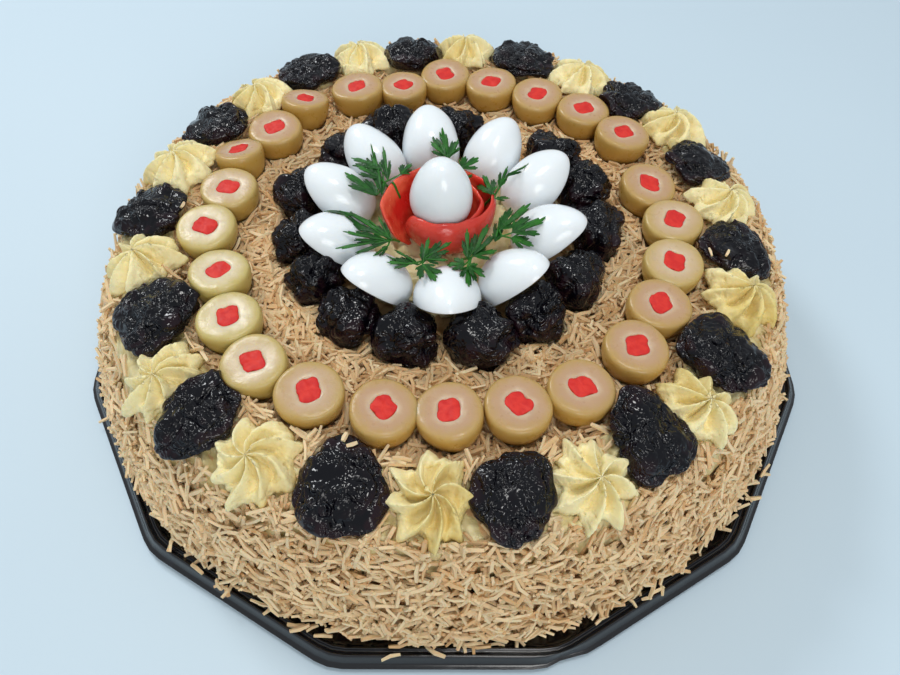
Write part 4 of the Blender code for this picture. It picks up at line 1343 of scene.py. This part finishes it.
def peel_strip(angles, foot, bulge, lip, tops, wave, seed):
    """A strip of peel wound round the egg: at each angle, the radii of its foot, its bulge and
    its lip, and the height of its top edge, in millimetres."""
    rows, columns = 28, 170
    u = np.linspace(0, 1, columns)[None]
    v = np.linspace(0, 1, rows)[:, None]
    degrees = angles[0] + (angles[-1] - angles[0]) * u
    turn = np.radians(degrees)
    foot, bulge, lip, top = (np.interp(degrees, angles, values) for values in (foot, bulge, lip, tops))
    radius = (1 - v) ** 2 * foot + 2 * v * (1 - v) * bulge + v**2 * lip
    ends = np.sin(np.clip(u * 14, 0, 1) * math.pi / 2) * np.sin(np.clip((1 - u) * 14, 0, 1) * math.pi / 2)
    top = top + wave * np.sin(turn * 3.1 + seed) + 0.4 * wave * np.sin(turn * 9.3 + 2 * seed)
    height = ROSE_FOOT + (top - ROSE_FOOT) * (0.5 + 0.5 * ends) * v**0.85
    grid = around(radius, turn, height) * MM
    uneven = lumps(grid, 8 * MM, seed) * 0.5 * MM + lumps(grid, 3 * MM, seed) * 0.12 * MM
    grid += uneven[..., None] * (1, 1, 0.4)
    grid[..., :2] += ROSE_CENTRE
    edge = np.minimum(np.minimum(v, 1 - v) * 9, np.minimum(u, 1 - u) * 30).clip(0, 1)
    return sheet(grid, (0.4 + 1.3 * np.sqrt(edge)) * MM)


def make_rose(finish):
    """The long outer strip, which overlaps itself at the left, and a short inner one."""
    strips = [
        peel_strip(angles=(190, 230, 270, 310, 350, 380, 420, 450, 490, 520, 545, 566),
                   foot=(10, 9.5, 10, 10.5, 12, 12, 12, 12, 12, 12.5, 13, 13.5),
                   bulge=(16, 19.5, 21, 21.5, 22, 22, 19, 18, 18, 19, 20, 19),
                   lip=(12.6, 12.5, 12.5, 13, 17.5, 19.5, 18.5, 18, 18.5, 21.5, 23.5, 20.5),
                   tops=(76.3, 77.6, 78, 77.3, 77.3, 78, 78.5, 79, 79, 78.5, 77.5, 76), wave=0.35, seed=101),
        peel_strip(angles=(-58, -30, 10, 60, 120, 150), foot=(8, 9, 9.5, 9.5, 9, 9),
                   bulge=(14, 15.5, 16, 15.5, 14.5, 14), lip=(12.6, 13.2, 14.4, 14.4, 13.8, 13),
                   tops=(76, 77, 77.4, 77.6, 77.6, 77), wave=0.5, seed=102),
    ]
    add_piece("peel_rose", mesh_from("peel_rose", joined(strips)), finish, "tomato", "tomato_rose")
    return strips


# Parsley

def leaflet(length, width, seed, draw):
    """A three-lobed toothed leaflet along +X from the origin, its top towards +Z."""
    rows, columns = 9, 81
    turn = np.linspace(-64, 64, columns)
    reach = np.full(columns, 0.36) * np.clip(1.3 - np.abs(turn) / 64, 0.3, 1)
    for at, size, half in ((-36, 0.8, 17), (0, 1.0, 17), (36, 0.84, 17), (-60, 0.5, 10), (60, 0.5, 10)):
        at += draw.uniform(-4, 4)
        size *= draw.uniform(0.9, 1.04)
        share = (turn - at) / half
        teeth = 0.82 + 0.18 * np.abs(np.cos(share * math.pi * 1.5))
        lobe = size * np.clip(1 - np.abs(share) ** 3, 0, 1) ** 0.5 * teeth
        reach = np.maximum(reach, lobe)
    reach /= reach.max()
    v = np.linspace(0.04, 1, rows)[:, None]
    angle = np.radians(turn)[None]
    radius = v * reach[None] * length
    x, y = radius * np.cos(angle), radius * np.sin(angle) * (width / length) * 1.75
    rib = np.cos(np.radians(turn) * 5)[None] * v
    sag = -(radius / length) ** 2 * draw.uniform(-0.05, 0.25)
    flat = np.stack((x, y, 0 * x), -1)
    z = length * (0.05 * rib + sag + 0.15 * np.abs(y / length)) + lumps(flat + seed, 2.5 * MM, 7) * 0.35 * MM
    return sheet(np.stack((x, y, z), -1), 0.28 * MM, vein=np.clip(rib, 0, 1))


def height_on(carriers, x, y):
    """Height of the carriers' upper side at a place, or 0 beside them."""
    found = carriers.ray_cast(Vector((x, y, 0.12)), Vector((0, 0, -1)))[0]
    return found.z if found else 0.0


def strand(path, radius):
    """A stem or twig, with the marks that a leaflet has."""
    shape = tube(path, radius)
    shape.marks = {"outside": np.ones(len(shape.points)), "vein": np.full(len(shape.points), 0.9)}
    return shape


def seen_at(carriers, x, y):
    """The place on the leaves' level, or on a carrier that is higher, that shows at this pixel."""
    ray = sight(x, y)
    found = carriers.ray_cast(VIEW_FROM, ray.normalized())[0]
    if found and found.z > LEAF_LEVEL:
        return np.array(found) + (0, 0, 0.8 * MM)
    return np.array(VIEW_FROM + ray * ((LEAF_LEVEL - VIEW_FROM.z) / ray.z))


def make_parsley(finish, carriers):
    """Each sprig is a stem on the mash with a twig to each leaflet. The leaflets lie across the
    rose and the petals, and drape over whatever would enter them."""
    draw = np.random.default_rng(41)
    for number, sprig in enumerate(PARSLEY, 1):
        bases = np.array([seen_at(carriers, *leaf[:2]) for leaf in sprig])
        tips = np.array([seen_at(carriers, *leaf[2:4]) for leaf in sprig])
        hub = bases[:3].mean(0) - (0, 0, 0.5 * MM)
        foot = bases[:, :2].mean(0) * 0.75 + RING_CENTRE * 0.25
        stem = [(*foot, 70 * MM), (*(foot * 0.4 + hub[:2] * 0.6), 75 * MM), hub]
        shapes = [strand(smooth_line(stem, 2), 0.5 * MM)]
        for base, tip, (*_, pixels) in zip(bases, tips, sprig):
            ahead = tip - base
            length = float(np.linalg.norm(ahead))
            width = pixels * VIEW_BACK.dot(VIEW_FROM - Vector(base)) / FOCAL_PIXELS
            twig = smooth_line([hub, (hub + base) / 2, base, base + ahead * 0.5], 1)
            shapes.append(strand(twig, 0.3 * MM))
            heading = Vector(ahead).to_track_quat("X", "Z").to_matrix().to_4x4()
            roll = Matrix.Rotation(math.radians(draw.uniform(-20, 20)), 4, "X")
            leaf = leaflet(length, width, number, draw)
            shapes.append(leaf.moved(Matrix.Translation(base) @ heading @ roll))
        whole = joined(shapes)
        for point, outside in zip(whole.points, whole.marks["outside"]):
            clear = (0.3 + 0.3 * outside) * MM
            point[2] = max(point[2], height_on(carriers, point[0], point[1]) + clear)
        add_piece(f"parsley_leaves_{number}", mesh_from("parsley_leaves", whole), finish, "parsley",
                  f"parsley_{number}")


# Stage

def make_stage():
    """A pale floor, far wider than the cake."""
    finish = Finish("pale_floor", Roughness=0.6)
    finish.colour(finish.blend(finish.noise(0.2, 2), srgb(199, 217, 229), srgb(203, 221, 232)))
    mesh = bpy.data.meshes.new("floor")
    wide = 3.0
    corners = [(-wide, -wide, 0), (wide, -wide, 0), (wide, wide, 0), (-wide, wide, 0)]
    mesh.from_pydata(corners, [], [(0, 1, 2, 3)])
    mesh.materials.append(finish.material)
    floor = bpy.data.objects.new("floor", mesh)
    bpy.context.scene.collection.objects.link(floor)


def add_light(name, place, aim, size, power, colour):
    light = bpy.data.lights.new(name, "AREA")
    light.shape = "DISK"
    light.size = size
    light.energy = power
    light.color = colour
    lamp = bpy.data.objects.new(name, light)
    lamp.location = place
    lamp.rotation_euler = (Vector(aim) - Vector(place)).to_track_quat("-Z", "Y").to_euler()
    bpy.context.scene.collection.objects.link(lamp)


def make_lights():
    """A pale sky, a window behind on the left, a lamp overhead and a soft fill in front."""
    world = bpy.data.worlds.new("soft_room")
    bpy.context.scene.world = world
    world.use_nodes = True
    sky = world.node_tree.nodes["Background"]
    sky.inputs["Color"].default_value = (0.88, 0.95, 1.0, 1)
    sky.inputs["Strength"].default_value = 0.5
    bpy.context.scene.view_settings.view_transform = "Standard"
    add_light("window", (-0.7, 0.75, 1.0), (0, 0, 0.05), 0.35, 6.5, (0.96, 0.985, 1.0))
    add_light("overhead", (0.1, -0.05, 1.2), (0, 0, 0.05), 0.25, 3.4, (1.0, 0.99, 0.97))
    add_light("front", (0.3, -1.1, 0.8), (0, 0, 0.03), 0.6, 5, (1.0, 0.98, 0.95))


def make_camera():
    data = bpy.data.cameras.new("camera")
    data.lens = LENS
    data.sensor_width = SENSOR
    data.clip_start = 0.01
    camera = bpy.data.objects.new("camera", data)
    camera.matrix_world = Matrix.Translation(VIEW_FROM) @ VIEW_TURN.to_4x4()
    bpy.context.scene.collection.objects.link(camera)
    bpy.context.scene.camera = camera


def nearest_to(shapes):
    """A search tree of the toppings' faces, for keeping sticks clear of them."""
    whole = joined([Shape(shape.points, shape.faces) for shape in shapes])
    return BVHTree.FromPolygons(whole.points.tolist(), whole.faces)


def main():
    make_camera()
    make_stage()
    make_lights()
    # The second colour of each cream is laid into its valleys and creases as painted shade.
    cream = cream_finish("piped_cream", srgb(248, 234, 182), srgb(222, 196, 110))
    smear = cream_finish("smeared_cream", srgb(230, 218, 172), srgb(204, 184, 124))
    prune = prune_finish()
    egg = egg_finish()
    make_tray(tray_finish())
    make_core(core_finish())
    toppings = make_olives(olive_finish(), pimento_finish())
    toppings += make_outer_prunes(prune) + make_inner_prunes(prune)
    toppings += make_rosettes(cream)
    make_smear(smear)
    make_bed(smear)
    carriers = make_petals(egg)
    make_centre_egg(egg)
    carriers += make_rose(tomato_finish())
    make_parsley(parsley_finish(), nearest_to(carriers))
    make_sticks(stick_finish(), nearest_to(toppings))


main()
